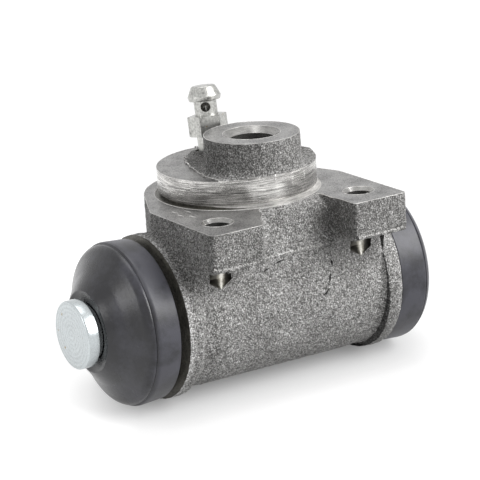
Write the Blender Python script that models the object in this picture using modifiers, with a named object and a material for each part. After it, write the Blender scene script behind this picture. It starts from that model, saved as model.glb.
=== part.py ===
"""Drum-brake wheel cylinder: a cast housing with two opposed pistons.

Frame: z = 0 is the machined mounting face and +Z is its normal. +X runs along
the bore. The origin is the centre of the round register on the mounting face.
All lengths are in metres.
"""
import math

import bmesh
import bpy
from mathutils import Matrix, Vector

PRODUCT = "wheel_cylinder"

# Barrel of the housing, turned about the bore's axis
AXIS_Y = -0.0039
AXIS_DEPTH = 0.0207
BORE_RADIUS = 0.01032
BORE_CHAMFER = 0.0007
BARREL_RADIUS = 0.0154
COLLAR_RISE = 0.0009
COLLAR_END = 0.0249
COLLAR_WIDTH = 0.0032
COLLAR_RUNOUT = 0.0005
SHOULDER_LENGTH = 0.0013
SHOULDER_DROP = 0.0023
SEAT_LENGTH = 0.0043
SEAT_CHAMFER = 0.0006
SEAT_GROOVE_OFFSET = 0.0013
SEAT_GROOVE_DEPTH = 0.0010
SEAT_GROOVE_WIDTH = 0.0016
COLLAR_RADIUS = BARREL_RADIUS + COLLAR_RISE
SEAT_RADIUS = COLLAR_RADIUS - SHOULDER_DROP
SEAT_START = COLLAR_END + SHOULDER_LENGTH
BODY_HALF_LENGTH = SEAT_START + SEAT_LENGTH

# Round register that centres the cylinder in the backing plate
REGISTER_RADIUS = 0.0160
REGISTER_HEIGHT = 0.0055
REGISTER_CHAMFER = 0.0002
UNDERCUT_DEPTH = 0.0005
UNDERCUT_HEIGHT = 0.0009
RELIEF_MARGIN = 0.0007
RELIEF_DEPTH = 0.0003

# Mounting flange: a disc round the register, and two lugs in front of it
DISC_MARGIN = 0.00335
DISC_SHIFT = 0.0006
FLANGE_THICKNESS = 0.0070
LUG_THICKNESS = 0.0080
LUG_INNER_MARGIN = 0.0064
LUG_OUTER_MARGIN = 0.0059
LUG_FRONT_MARGIN = 0.0078
LUG_BACK_Y = -0.0035
LUG_CORNER = 0.0012
LUG_INNER_FILLET = 0.0025
LUG_UNDER_FILLET = 0.0030
LUG_UNDER_CHAMFER = 0.0012
NECK_INSET = 0.0007
NECK_BACK_FILLET = 0.0040
NECK_HALF_DEPTH = BARREL_RADIUS - NECK_INSET
DISC_RADIUS = REGISTER_RADIUS + DISC_MARGIN

# Tapped mounting holes in the lugs, M6
HOLE_SIDE_MARGIN = 0.0004
HOLE_WALL_OFFSET = 0.0002
HOLE_RADIUS = 0.0025
HOLE_MOUTH_RADIUS = 0.00325
HOLE_DEPTH = 0.0113
DRILL_POINT_DEPTH = 0.0027
HOLE_Y = AXIS_Y - NECK_HALF_DEPTH - HOLE_WALL_OFFSET

# Inlet boss with the M10 port, on the register
BOSS_Y = -0.0065
BOSS_RADIUS = 0.00945
BOSS_HEIGHT = 0.0071
BOSS_DRAFT = 0.0003
BOSS_FILLET = 0.0030
BOSS_TRIM_INSET = 0.00005
PORT_RADIUS = 0.0045
PORT_MOUTH_RADIUS = 0.0057
PORT_DEPTH = 0.0120
DRILL_ANGLE = math.radians(30.0)
PASSAGE_RADIUS = 0.0015
BOSS_TOP = REGISTER_HEIGHT + BOSS_HEIGHT

# Bleed screw, M6, leaning back from the boss, and its hole
BLEED_INSET = 0.0068
BLEED_ANGLE = math.radians(8.0)
BLEED_HOLE_RADIUS = 0.0030
BLEED_HOLE_DEPTH = 0.0100
BLEED_MOUTH_CHAMFER = 0.0003
BLEED_PASSAGE_RADIUS = 0.0011
BLEED_PASSAGE_STOP = 0.0026
SHANK_CLEARANCE = 0.0003
SCREW_TIP_RADIUS = 0.0016
SCREW_DRILLING_RADIUS = 0.0006
HEX_ACROSS_FLATS = 0.0070
HEX_BOTTOM = 0.0039
HEX_HEIGHT = 0.0041
HEX_ANGLE = math.radians(7.5)
NIPPLE_NECK_RADIUS = 0.00233
NIPPLE_NECK_LENGTH = 0.0030
NIPPLE_RADIUS = 0.0034
NIPPLE_RIM_INSET = 0.0002
NIPPLE_RIM_HEIGHT = 0.0008
NIPPLE_TOP_RADIUS = 0.0024
NIPPLE_HEIGHT = 0.0030
OUTLET_RADIUS = 0.0008
OUTLET_DROP = 0.0012
OUTLET_ANGLE = math.radians(-31.0)
INLET_RISE = 0.0016
HOLE_HALF_SPACING = REGISTER_RADIUS + HOLE_SIDE_MARGIN
BLEED_Y = REGISTER_RADIUS - BLEED_INSET
SHANK_RADIUS = BLEED_HOLE_RADIUS - SHANK_CLEARANCE

# Pistons: their shoulders sit inside the housing's ends, and each one stands out from there
PISTON_SETBACK = 0.0021
PISTON_BODY_LENGTH = 0.0162
PISTON_NOSE_LENGTH = 0.0098
PISTON_CLEARANCE = 0.00008
PISTON_CHAMFER = 0.0005
NOSE_RADIUS = 0.00684
NOSE_HEAD_LENGTH = 0.0025
NOSE_CHAMFER = 0.0005
NOSE_SHOULDER_LENGTH = 0.0012
LIP_GROOVE_DEPTH = 0.00124
LIP_GROOVE_WIDTH = 0.0024
LEFT_PISTON_OUT = 0.0036
RIGHT_PISTON_OUT = 0.0
PISTON_SHOULDER_X = BODY_HALF_LENGTH - PISTON_SETBACK
PISTON_INNER_X = PISTON_SHOULDER_X - PISTON_BODY_LENGTH
NOSE_FACE_X = PISTON_SHOULDER_X + PISTON_NOSE_LENGTH

# Rubber cup seals and the pressed expanders that the spring holds in them
CUP_LENGTH = 0.0062
CUP_BASE = 0.0022
CUP_LIP = 0.0013
CUP_HEEL = 0.0021
CUP_CLEARANCE = 0.00012
EXPANDER_THICKNESS = 0.0008
EXPANDER_HUB_RADIUS = 0.0042
EXPANDER_HUB_LENGTH = 0.0022

# Return spring between the two expanders
SPRING_WIRE_RADIUS = 0.00055
SPRING_HUB_CLEARANCE = 0.00035
SPRING_TURNS = 7
SPRING_END_TURNS = 1
SPRING_END_PITCH = 0.0014
SPRING_COIL_RADIUS = EXPANDER_HUB_RADIUS + SPRING_HUB_CLEARANCE + SPRING_WIRE_RADIUS

# Dust boots: a band round the housing's end, a domed wall, and a lip round the piston's nose
BOOT_RIM_GAP = 0.00046
BOOT_BAND_WALL = 0.0017
BOOT_SWELL = 0.00035
BOOT_WALL = 0.0016
BOOT_END_GAP = 0.0003
BOOT_FOLLOW_RATIO = 0.27
BOOT_SHOULDER_FILLET = 0.0028
BOOT_LIP_WALL = 0.0013
BOOT_LIP_EDGE = 0.0004
BOOT_LIP_SETBACK = 0.0009
BOOT_FLARE_LENGTH = 0.0015
BOOT_FLARE_RISE = 0.00115
BOOT_FLARE_FILLET = 0.0022
BOOT_MOUTH_GAP = 0.0003

# Gap left where two pieces touch, and how finely round shapes are divided
TOUCH_GAP = 0.0003
ROUND_STEPS = 48
BOOT_STEPS = 40
SMALL_STEPS = 32
DRILLING_STEPS = 12
FILLET_STEPS = 4
SPRING_STEPS_PER_TURN = 16
MERGE_DISTANCE = 0.00001
SHARP_ANGLE = math.radians(35.0)
OVERSHOOT = 0.0010


def clear_scene():
    """Remove every object, so that the script starts from nothing."""
    for old in list(bpy.data.objects):
        bpy.data.objects.remove(old, do_unlink=True)


def new_collection(name):
    """Make a collection in the scene."""
    collection = bpy.data.collections.new(name)
    bpy.context.scene.collection.children.link(collection)
    return collection


def new_material(name, colour, roughness, metallic):
    """Make a Principled material with a plain colour."""
    material = bpy.data.materials.new(name)
    material.use_nodes = True
    shader = material.node_tree.nodes["Principled BSDF"]
    shader.inputs["Base Color"].default_value = (*colour, 1.0)
    shader.inputs["Roughness"].default_value = roughness
    shader.inputs["Metallic"].default_value = metallic
    material.diffuse_color = (*colour, 1.0)
    return material


def filleted(corners, closed=True):
    """Round the corners of an outline. Each corner is (a, b, fillet radius)."""
    points = []
    count = len(corners)
    for index, (a, b, radius) in enumerate(corners):
        is_end = not closed and index in (0, count - 1)
        if radius == 0 or is_end:
            points.append((a, b))
            continue
        corner = Vector((a, b))
        back = (Vector(corners[index - 1][:2]) - corner).normalized()
        ahead = (Vector(corners[(index + 1) % count][:2]) - corner).normalized()
        half_angle = back.angle(ahead) / 2
        centre = corner + (back + ahead).normalized() * (radius / math.sin(half_angle))
        start = corner + back * (radius / math.tan(half_angle)) - centre
        direction = 1 if back.cross(ahead) < 0 else -1
        turn = direction * (math.pi - 2 * half_angle)
        for step in range(FILLET_STEPS + 1):
            arm = Matrix.Rotation(turn * step / FILLET_STEPS, 2) @ start
            points.append(tuple(centre + arm))
    return points


def new_object(name, mesh, collection):
    """Link a mesh to a collection as an object."""
    piece = bpy.data.objects.new(name, mesh)
    collection.objects.link(piece)
    return piece


def apply_modifiers(piece):
    """Give an object the mesh that its modifiers make, shaded smooth between its real edges."""
    bpy.context.view_layer.update()
    evaluated = piece.evaluated_get(bpy.context.evaluated_depsgraph_get())
    mesh = bpy.data.meshes.new_from_object(evaluated)
    piece.modifiers.clear()
    piece.data = mesh
    mesh.name = piece.name
    mesh.shade_smooth()
    mesh.set_sharp_from_angle(angle=SHARP_ANGLE)


def turned(name, profile, steps, collection, ring=False):
    """Turn a profile of (radius, height) about Z. Its outer side runs from the top down."""
    mesh = bpy.data.meshes.new(name)
    edges = [(index, index + 1) for index in range(len(profile) - 1)]
    if ring:
        edges.append((len(profile) - 1, 0))
    mesh.from_pydata([(radius, 0.0, height) for radius, height in profile], edges, [])
    piece = new_object(name, mesh, collection)
    screw = piece.modifiers.new("Turn", 'SCREW')
    screw.steps = steps
    screw.render_steps = steps
    screw.use_merge_vertices = True
    screw.merge_threshold = MERGE_DISTANCE
    apply_modifiers(piece)
    return piece


def prism(name, outline, length, collection):
    """Extrude a flat outline upwards by a length, starting at z = 0."""
    mesh = bpy.data.meshes.new(name)
    shape = bmesh.new()
    face = shape.faces.new([shape.verts.new((a, b, 0.0)) for a, b in outline])
    face.normal_update()
    if face.normal.z > 0:
        face.normal_flip()
    grown = bmesh.ops.extrude_face_region(shape, geom=[face])
    raised = [item for item in grown["geom"] if isinstance(item, bmesh.types.BMVert)]
    bmesh.ops.translate(shape, verts=raised, vec=(0.0, 0.0, length))
    bmesh.ops.recalc_face_normals(shape, faces=shape.faces)
    shape.to_mesh(mesh)
    shape.free()
    return new_object(name, mesh, collection)


def combine(piece, other, operation):
    """Add a Boolean of another object to a piece."""
    boolean = piece.modifiers.new(other.name, 'BOOLEAN')
    boolean.operation = operation
    boolean.solver = 'EXACT'
    boolean.object = other


def bore_axis(name, side, collection):
    """Make an empty at the middle of the bore whose Z axis points out of one end."""
    axis = bpy.data.objects.new(name, None)
    axis.location = (0.0, AXIS_Y, -AXIS_DEPTH)
    axis.rotation_euler = (0.0, side * math.pi / 2, 0.0)
    axis.empty_display_size = BORE_RADIUS
    collection.objects.link(axis)
    return axis


def bleed_axis(name, collection):
    """Make an empty on the register's top whose Z axis is that of the bleed screw."""
    axis = bpy.data.objects.new(name, None)
    axis.location = (0.0, BLEED_Y, REGISTER_HEIGHT)
    axis.rotation_euler = (-BLEED_ANGLE, 0.0, 0.0)
    axis.empty_display_size = HEX_ACROSS_FLATS
    collection.objects.link(axis)
    return axis


def mirrored_profile(half):
    """Complete a turned profile whose lower half mirrors its upper half."""
    return half + [(radius, -height) for radius, height in reversed(half)]


def barrel_blank(guides):
    """Turn the barrel with its end collars and the seats of the dust boots."""
    groove_radius = SEAT_RADIUS - SEAT_GROOVE_DEPTH
    collar_start = COLLAR_END - COLLAR_WIDTH
    groove_start = SEAT_START + SEAT_GROOVE_OFFSET
    half = [
        (0.0, BODY_HALF_LENGTH),
        (SEAT_RADIUS - SEAT_CHAMFER, BODY_HALF_LENGTH),
        (SEAT_RADIUS, BODY_HALF_LENGTH - SEAT_CHAMFER),
        (SEAT_RADIUS, groove_start + SEAT_GROOVE_WIDTH),
        (groove_radius, groove_start + SEAT_GROOVE_WIDTH),
        (groove_radius, groove_start),
        (SEAT_RADIUS, groove_start),
        (SEAT_RADIUS, SEAT_START),
        (COLLAR_RADIUS, COLLAR_END),
        (COLLAR_RADIUS, collar_start),
        (BARREL_RADIUS, collar_start - COLLAR_RUNOUT),
    ]
    barrel = turned("barrel_blank", mirrored_profile(half), ROUND_STEPS, guides)
    barrel.location = (0.0, AXIS_Y, -AXIS_DEPTH)
    barrel.rotation_euler = (0.0, math.pi / 2, 0.0)
    return barrel


def lug_edges():
    """Inner X, outer X and front Y of the right lug, set out from its hole."""
    inner_x = HOLE_HALF_SPACING - LUG_INNER_MARGIN
    outer_x = HOLE_HALF_SPACING + LUG_OUTER_MARGIN
    front_y = HOLE_Y - LUG_FRONT_MARGIN
    return inner_x, outer_x, front_y


def flange_outline():
    """Outline of the mounting face: two lugs in front, and a disc round the register."""
    wall_y = AXIS_Y - NECK_HALF_DEPTH
    inner_x, outer_x, front_y = lug_edges()
    right = [
        (inner_x, wall_y, LUG_INNER_FILLET),
        (inner_x, front_y, LUG_CORNER),
        (outer_x, front_y, LUG_CORNER),
        (outer_x, LUG_BACK_Y, LUG_CORNER),
    ]
    left = [(-x, y, radius) for x, y, radius in reversed(right)]
    start = tangent_angle(outer_x - DISC_SHIFT)
    end = math.pi - tangent_angle(outer_x + DISC_SHIFT)
    arc_steps = ROUND_STEPS // 2
    disc = []
    for step in range(arc_steps + 1):
        angle = start + (end - start) * step / arc_steps
        disc.append((DISC_SHIFT + DISC_RADIUS * math.cos(angle), DISC_RADIUS * math.sin(angle), 0.0))
    return filleted(right + disc + left)


def tangent_angle(reach):
    """Angle at which a straight side from a lug's back corner, that far across, meets the disc."""
    distance = math.hypot(reach, LUG_BACK_Y)
    return math.atan2(LUG_BACK_Y, reach) + math.acos(DISC_RADIUS / distance)


def neck_section():
    """Section of the neck across the bore: lug, front wall, back wall and flange."""
    lug_front_y = lug_edges()[2]
    front_y = lug_front_y - OVERSHOOT
    back_y = DISC_RADIUS + OVERSHOOT
    front_wall = AXIS_Y - NECK_HALF_DEPTH
    back_wall = AXIS_Y + NECK_HALF_DEPTH
    chamfer = LUG_UNDER_CHAMFER
    return filleted([
        (front_y, OVERSHOOT, 0.0),
        (front_y, chamfer + OVERSHOOT - LUG_THICKNESS, 0.0),
        (lug_front_y + chamfer, -LUG_THICKNESS, chamfer),
        (front_wall, -LUG_THICKNESS, LUG_UNDER_FILLET),
        (front_wall, -AXIS_DEPTH, 0.0),
        (back_wall, -AXIS_DEPTH, 0.0),
        (back_wall, -FLANGE_THICKNESS, NECK_BACK_FILLET),
        (back_y, -FLANGE_THICKNESS, 0.0),
        (back_y, OVERSHOOT, 0.0),
    ])


def neck_blank(guides):
    """Shape the neck and flange as the common part of its plan and its section."""
    depth = AXIS_DEPTH + OVERSHOOT
    plan = prism("neck_plan", flange_outline(), depth, guides)
    plan.location = (0.0, 0.0, -depth)
    width = 2 * (lug_edges()[1] + OVERSHOOT)
    section = prism("neck_section", neck_section(), width, guides)
    turn = Matrix.Rotation(math.pi / 2, 4, 'Z') @ Matrix.Rotation(math.pi / 2, 4, 'X')
    section.matrix_world = Matrix.Translation((-width / 2, 0.0, 0.0)) @ turn
    combine(plan, section, 'INTERSECT')
    return plan


def register_blank(guides):
    """Turn the register, a low round step."""
    foot = -FLANGE_THICKNESS / 2
    profile = [
        (0.0, REGISTER_HEIGHT),
        (REGISTER_RADIUS - REGISTER_CHAMFER, REGISTER_HEIGHT),
        (REGISTER_RADIUS, REGISTER_HEIGHT - REGISTER_CHAMFER),
        (REGISTER_RADIUS, foot),
        (0.0, foot),
    ]
    return turned("register_blank", profile, ROUND_STEPS, guides)


def relief_cutter(guides):
    """Cut the relief groove at the register's foot, into its side and into the mounting face."""
    inner_radius = REGISTER_RADIUS - UNDERCUT_DEPTH
    outer_radius = REGISTER_RADIUS + RELIEF_MARGIN
    slope_start = UNDERCUT_HEIGHT - UNDERCUT_DEPTH
    slope_end = slope_start + outer_radius - inner_radius
    profile = [
        (outer_radius, slope_end),
        (outer_radius, -RELIEF_DEPTH),
        (inner_radius, -RELIEF_DEPTH),
        (inner_radius, slope_start),
    ]
    return turned("relief_cutter", profile, ROUND_STEPS, guides, ring=True)


def boss_blank(guides):
    """Turn the inlet boss with its flared foot, and trim it to the register's outline."""
    foot = REGISTER_HEIGHT / 2
    root_radius = BOSS_RADIUS + BOSS_DRAFT
    flank = filleted([
        (BOSS_RADIUS, BOSS_TOP, 0.0),
        (root_radius, REGISTER_HEIGHT, BOSS_FILLET),
        (root_radius + BOSS_FILLET + OVERSHOOT, REGISTER_HEIGHT, 0.0),
    ], closed=False)
    foot_radius = root_radius + BOSS_FILLET + OVERSHOOT
    profile = [(0.0, BOSS_TOP)] + flank + [(foot_radius, foot), (0.0, foot)]
    boss = turned("boss_blank", profile, ROUND_STEPS, guides)
    boss.location = (0.0, BOSS_Y, 0.0)
    trim_radius = REGISTER_RADIUS - BOSS_TRIM_INSET
    trim_top = BOSS_TOP + OVERSHOOT
    trim = turned("boss_trim", [(0.0, trim_top), (trim_radius, trim_top), (trim_radius, 0.0), (0.0, 0.0)],
                  ROUND_STEPS, guides)
    combine(boss, trim, 'INTERSECT')
    return boss


def bore_cutter(guides):
    """Cut the bore right through, with a chamfer at each end."""
    beyond = BODY_HALF_LENGTH + OVERSHOOT
    half = [
        (0.0, beyond),
        (BORE_RADIUS + BORE_CHAMFER + OVERSHOOT, beyond),
        (BORE_RADIUS, BODY_HALF_LENGTH - BORE_CHAMFER),
    ]
    cutter = turned("bore_cutter", mirrored_profile(half), ROUND_STEPS, guides)
    cutter.location = (0.0, AXIS_Y, -AXIS_DEPTH)
    cutter.rotation_euler = (0.0, math.pi / 2, 0.0)
    return cutter


def mounting_hole_cutter(name, x, guides):
    """Drill a tapping hole through a lug, whose point runs on into the neck's wall."""
    mouth = HOLE_MOUTH_RADIUS - HOLE_RADIUS
    profile = [
        (0.0, OVERSHOOT),
        (HOLE_MOUTH_RADIUS + OVERSHOOT, OVERSHOOT),
        (HOLE_RADIUS, -mouth),
        (HOLE_RADIUS, -HOLE_DEPTH),
        (0.0, -HOLE_DEPTH - DRILL_POINT_DEPTH),
    ]
    cutter = turned(name, profile, SMALL_STEPS, guides)
    cutter.location = (x, HOLE_Y, 0.0)
    return cutter


def port_cutter(guides):
    """Cut the inlet: a countersunk tapping hole, and a passage on into the bore."""
    mouth = PORT_MOUTH_RADIUS - PORT_RADIUS
    floor = BOSS_TOP - PORT_DEPTH
    passage_top = floor - (PORT_RADIUS - PASSAGE_RADIUS) * math.tan(DRILL_ANGLE)
    profile = [
        (0.0, BOSS_TOP + OVERSHOOT),
        (PORT_MOUTH_RADIUS + OVERSHOOT, BOSS_TOP + OVERSHOOT),
        (PORT_RADIUS, BOSS_TOP - mouth),
        (PORT_RADIUS, floor),
        (PASSAGE_RADIUS, passage_top),
        (PASSAGE_RADIUS, -AXIS_DEPTH),
        (0.0, -AXIS_DEPTH),
    ]
    cutter = turned("port_cutter", profile, SMALL_STEPS, guides)
    cutter.location = (0.0, BOSS_Y, 0.0)
    return cutter


def bleed_cutter(axis, guides):
    """Drill the leaning hole of the bleed screw, its conical seat and the passage to the bore."""
    mouth_radius = BLEED_HOLE_RADIUS + BLEED_MOUTH_CHAMFER
    seat_drop = BLEED_HOLE_RADIUS - BLEED_PASSAGE_RADIUS
    reach = (REGISTER_HEIGHT + AXIS_DEPTH - BLEED_PASSAGE_STOP) / math.cos(BLEED_ANGLE)
    profile = [
        (0.0, OVERSHOOT),
        (mouth_radius + OVERSHOOT, OVERSHOOT),
        (BLEED_HOLE_RADIUS, -BLEED_MOUTH_CHAMFER),
        (BLEED_HOLE_RADIUS, -BLEED_HOLE_DEPTH),
        (BLEED_PASSAGE_RADIUS, -BLEED_HOLE_DEPTH - seat_drop),
        (BLEED_PASSAGE_RADIUS, -reach),
        (0.0, -reach),
    ]
    cutter = turned("bleed_cutter", profile, SMALL_STEPS, guides)
    cutter.parent = axis
    return cutter


def build_housing(parts, guides, axis, material):
    """Cast and machine the housing: one solid with its bore, port and holes."""
    housing = barrel_blank(guides)
    for blank in (neck_blank(guides), register_blank(guides), boss_blank(guides)):
        combine(housing, blank, 'UNION')
    combine(housing, relief_cutter(guides), 'DIFFERENCE')
    combine(housing, bore_cutter(guides), 'DIFFERENCE')
    combine(housing, mounting_hole_cutter("left_hole_cutter", -HOLE_HALF_SPACING, guides), 'DIFFERENCE')
    combine(housing, mounting_hole_cutter("right_hole_cutter", HOLE_HALF_SPACING, guides), 'DIFFERENCE')
    combine(housing, port_cutter(guides), 'DIFFERENCE')
    combine(housing, bleed_cutter(axis, guides), 'DIFFERENCE')
    guides.objects.unlink(housing)
    parts.objects.link(housing)
    housing.name = "body_casting"
    apply_modifiers(housing)
    housing.data.materials.append(material)
    return housing


def nose_head_back(out):
    """Place of the back of a piston's nose head, which holds the boot's lip."""
    return NOSE_FACE_X - NOSE_HEAD_LENGTH + out


def build_piston(name, axis, out, parts, material):
    """Turn a piston: a body that fits the bore, and a flat nose with the boot's groove."""
    radius = BORE_RADIUS - PISTON_CLEARANCE
    inner = PISTON_INNER_X + out
    shoulder = PISTON_SHOULDER_X + out
    face = NOSE_FACE_X + out
    head_back = nose_head_back(out)
    groove_back = head_back - LIP_GROOVE_WIDTH
    groove_radius = NOSE_RADIUS - LIP_GROOVE_DEPTH
    profile = [
        (0.0, face),
        (NOSE_RADIUS - NOSE_CHAMFER, face),
        (NOSE_RADIUS, face - NOSE_CHAMFER),
        (NOSE_RADIUS, head_back),
        (groove_radius, head_back),
        (groove_radius, groove_back),
        (NOSE_RADIUS, groove_back),
        (NOSE_RADIUS, shoulder + NOSE_SHOULDER_LENGTH),
        (radius - PISTON_CHAMFER, shoulder),
        (radius, shoulder - PISTON_CHAMFER),
        (radius, inner + PISTON_CHAMFER),
        (radius - PISTON_CHAMFER, inner),
        (0.0, inner),
    ]
    piston = turned(name, profile, SMALL_STEPS, parts)
    piston.parent = axis
    piston.data.materials.append(material)
    return piston


def cup_floor_radius():
    """Radius of the flat floor inside a cup seal, where the expander sits."""
    return BORE_RADIUS - CUP_CLEARANCE - CUP_HEEL - CUP_LIP / 2


def build_cup(name, axis, out, parts, material):
    """Turn a rubber cup seal: a flat back against the piston, and a flared lip to the pressure."""
    radius = BORE_RADIUS - CUP_CLEARANCE
    back = PISTON_INNER_X + out - TOUCH_GAP
    mouth = back - CUP_LENGTH
    profile = [
        (0.0, back),
        (radius - CUP_HEEL / 2, back),
        (radius - CUP_CLEARANCE, back - CUP_BASE / 2),
        (radius, mouth),
        (radius - CUP_LIP, mouth),
        (radius - CUP_HEEL, back - CUP_BASE - CUP_LIP),
        (cup_floor_radius(), back - CUP_BASE),
        (0.0, back - CUP_BASE),
    ]
    cup = turned(name, profile, SMALL_STEPS, parts)
    cup.parent = axis
    cup.data.materials.append(material)
    return cup


def expander_seat(out):
    """Distance from the middle of the bore to the face of an expander that the spring sits on."""
    return PISTON_INNER_X + out - CUP_BASE - 2 * TOUCH_GAP - EXPANDER_THICKNESS


def build_expander(name, axis, out, parts, material):
    """Press an expander: a thin disc on the cup's floor, with a dished hub inside the spring."""
    seat = expander_seat(out)
    back = seat + EXPANDER_THICKNESS
    hub_end = seat - EXPANDER_HUB_LENGTH
    dish_radius = EXPANDER_HUB_RADIUS - EXPANDER_THICKNESS
    disc_radius = cup_floor_radius() - TOUCH_GAP
    profile = [
        (0.0, hub_end + EXPANDER_THICKNESS),
        (dish_radius, hub_end + EXPANDER_THICKNESS),
        (dish_radius, back),
        (disc_radius, back),
        (disc_radius, seat),
        (EXPANDER_HUB_RADIUS, seat),
        (EXPANDER_HUB_RADIUS - EXPANDER_THICKNESS / 2, hub_end),
        (0.0, hub_end),
    ]
    expander = turned(name, profile, SMALL_STEPS, parts)
    expander.parent = axis
    expander.data.materials.append(material)
    return expander


def spring_height(turns, length):
    """Height of the wire's centre after some turns: close end turns, and even turns between."""
    end_rise = SPRING_END_TURNS * SPRING_END_PITCH
    middle_turns = SPRING_TURNS - 2 * SPRING_END_TURNS
    middle_pitch = (length - 2 * end_rise) / middle_turns
    if turns <= SPRING_END_TURNS:
        return turns * SPRING_END_PITCH
    if turns >= SPRING_TURNS - SPRING_END_TURNS:
        return length - (SPRING_TURNS - turns) * SPRING_END_PITCH
    return end_rise + (turns - SPRING_END_TURNS) * middle_pitch


def build_spring(parts, material):
    """Wind the return spring along the bore between the two expanders."""
    end_gap = TOUCH_GAP + SPRING_WIRE_RADIUS
    left_end = end_gap - expander_seat(LEFT_PISTON_OUT)
    length = expander_seat(RIGHT_PISTON_OUT) - end_gap - left_end
    count = SPRING_TURNS * SPRING_STEPS_PER_TURN
    wire = bpy.data.curves.new("return_spring", 'CURVE')
    wire.dimensions = '3D'
    wire.bevel_depth = SPRING_WIRE_RADIUS
    wire.bevel_resolution = 2
    wire.use_fill_caps = True
    path = wire.splines.new('POLY')
    path.points.add(count)
    for step in range(count + 1):
        turns = step / SPRING_STEPS_PER_TURN
        angle = 2 * math.pi * turns
        x = left_end + spring_height(turns, length)
        y = SPRING_COIL_RADIUS * math.cos(angle)
        z = SPRING_COIL_RADIUS * math.sin(angle)
        path.points[step].co = (x, y, z, 1.0)
    wire.materials.append(material)
    spring = bpy.data.objects.new("return_spring", wire)
    spring.location = (0.0, AXIS_Y, -AXIS_DEPTH)
    parts.objects.link(spring)
    return spring


def build_boot(name, axis, out, parts, material):
    """Mould a dust boot, whose lip and domed wall follow the piston while its band stays."""
    head_back = nose_head_back(out)
    lip_end = head_back - BOOT_LIP_SETBACK
    lip_front = lip_end - BOOT_LIP_EDGE
    lip_back = head_back - LIP_GROOVE_WIDTH + TOUCH_GAP
    lip_inner_radius = NOSE_RADIUS - LIP_GROOVE_DEPTH + TOUCH_GAP
    mouth_radius = NOSE_RADIUS + BOOT_MOUTH_GAP
    lip_radius = NOSE_RADIUS + BOOT_LIP_WALL
    flare_radius = lip_radius + BOOT_FLARE_RISE
    rim_x = SEAT_START + BOOT_RIM_GAP
    inner_radius = SEAT_RADIUS + TOUCH_GAP
    rim_radius = inner_radius + BOOT_BAND_WALL
    shoulder_radius = rim_radius + BOOT_SWELL
    bead_radius = inner_radius - SEAT_GROOVE_DEPTH
    bead_back = SEAT_START + SEAT_GROOVE_OFFSET + TOUCH_GAP
    bead_front = SEAT_START + SEAT_GROOVE_OFFSET + SEAT_GROOVE_WIDTH - TOUCH_GAP
    inner_shoulder_x = BODY_HALF_LENGTH + BOOT_END_GAP + BOOT_FOLLOW_RATIO * out
    inner_flare_x = lip_end - BOOT_FLARE_LENGTH
    wall_slope = (inner_radius - mouth_radius) / (inner_flare_x - inner_shoulder_x)
    wall_shift = BOOT_WALL / math.sin(math.atan(wall_slope))
    shoulder_x = inner_shoulder_x + wall_shift - (shoulder_radius - inner_radius) / wall_slope
    flare_x = inner_flare_x + wall_shift - (flare_radius - mouth_radius) / wall_slope
    outer = filleted([
        (lip_radius - BOOT_LIP_EDGE, lip_end, 0.0),
        (lip_radius, lip_end, 0.0),
        (flare_radius, flare_x, BOOT_FLARE_FILLET),
        (shoulder_radius, shoulder_x, BOOT_SHOULDER_FILLET),
        (rim_radius, rim_x, 0.0),
    ], closed=False)
    inner = filleted([
        (inner_radius, rim_x, 0.0),
        (inner_radius, bead_back, 0.0),
        (bead_radius, bead_back, 0.0),
        (bead_radius, bead_front, 0.0),
        (inner_radius, bead_front, 0.0),
        (inner_radius, inner_shoulder_x, BOOT_WALL / 2),
        (mouth_radius, inner_flare_x, 0.0),
        (mouth_radius, lip_back, 0.0),
        (lip_inner_radius, lip_back, 0.0),
        (lip_inner_radius, lip_front, 0.0),
        (mouth_radius, lip_front, 0.0),
    ], closed=False)
    boot = turned(name, outer + inner, BOOT_STEPS, parts, ring=True)
    boot.parent = axis
    boot.data.materials.append(material)
    return boot


def screw_blank(axis, parts):
    """Turn the bleed screw: nipple, neck, shank and the cone that closes on the seat."""
    hex_top = HEX_BOTTOM + HEX_HEIGHT
    hex_middle = HEX_BOTTOM + HEX_HEIGHT / 2
    neck_top = hex_top + NIPPLE_NECK_LENGTH
    nipple_top = neck_top + NIPPLE_HEIGHT
    profile = [
        (0.0, nipple_top),
        (NIPPLE_TOP_RADIUS, nipple_top),
        (NIPPLE_RADIUS, neck_top + NIPPLE_RIM_HEIGHT),
        (NIPPLE_RADIUS - NIPPLE_RIM_INSET, neck_top),
        (NIPPLE_NECK_RADIUS, neck_top),
        (NIPPLE_NECK_RADIUS, hex_middle),
        (SHANK_RADIUS, hex_middle),
        (SHANK_RADIUS, screw_tip() + SHANK_RADIUS - SCREW_TIP_RADIUS),
        (SCREW_TIP_RADIUS, screw_tip()),
        (0.0, screw_tip()),
    ]
    screw = turned("bleed_screw", profile, SMALL_STEPS, parts)
    screw.parent = axis
    return screw


def screw_tip():
    """Height of the bleed screw's tip, just clear of the conical seat at the same radius."""
    return SCREW_TIP_RADIUS - BLEED_HOLE_RADIUS - BLEED_HOLE_DEPTH + 2 * TOUCH_GAP


def hexagon_blank(axis, guides):
    """Make the hexagon of the bleed screw."""
    corner_radius = HEX_ACROSS_FLATS / 2 / math.cos(math.pi / 6)
    bpy.ops.mesh.primitive_cylinder_add(vertices=6, radius=corner_radius, depth=HEX_HEIGHT)
    hexagon = bpy.context.active_object
    for collection in hexagon.users_collection:
        collection.objects.unlink(hexagon)
    guides.objects.link(hexagon)
    hexagon.name = "hexagon_blank"
    hexagon.parent = axis
    hexagon.location = (0.0, 0.0, HEX_BOTTOM + HEX_HEIGHT / 2)
    hexagon.rotation_euler = (0.0, 0.0, HEX_ANGLE)
    return hexagon


def drilling(name, radius, bottom, top, axis, guides):
    """Make a drill of some radius between two heights on an axis."""
    profile = [(0.0, top), (radius, top), (radius, bottom), (0.0, bottom)]
    drill = turned(name, profile, DRILLING_STEPS, guides)
    drill.parent = axis
    return drill


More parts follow.
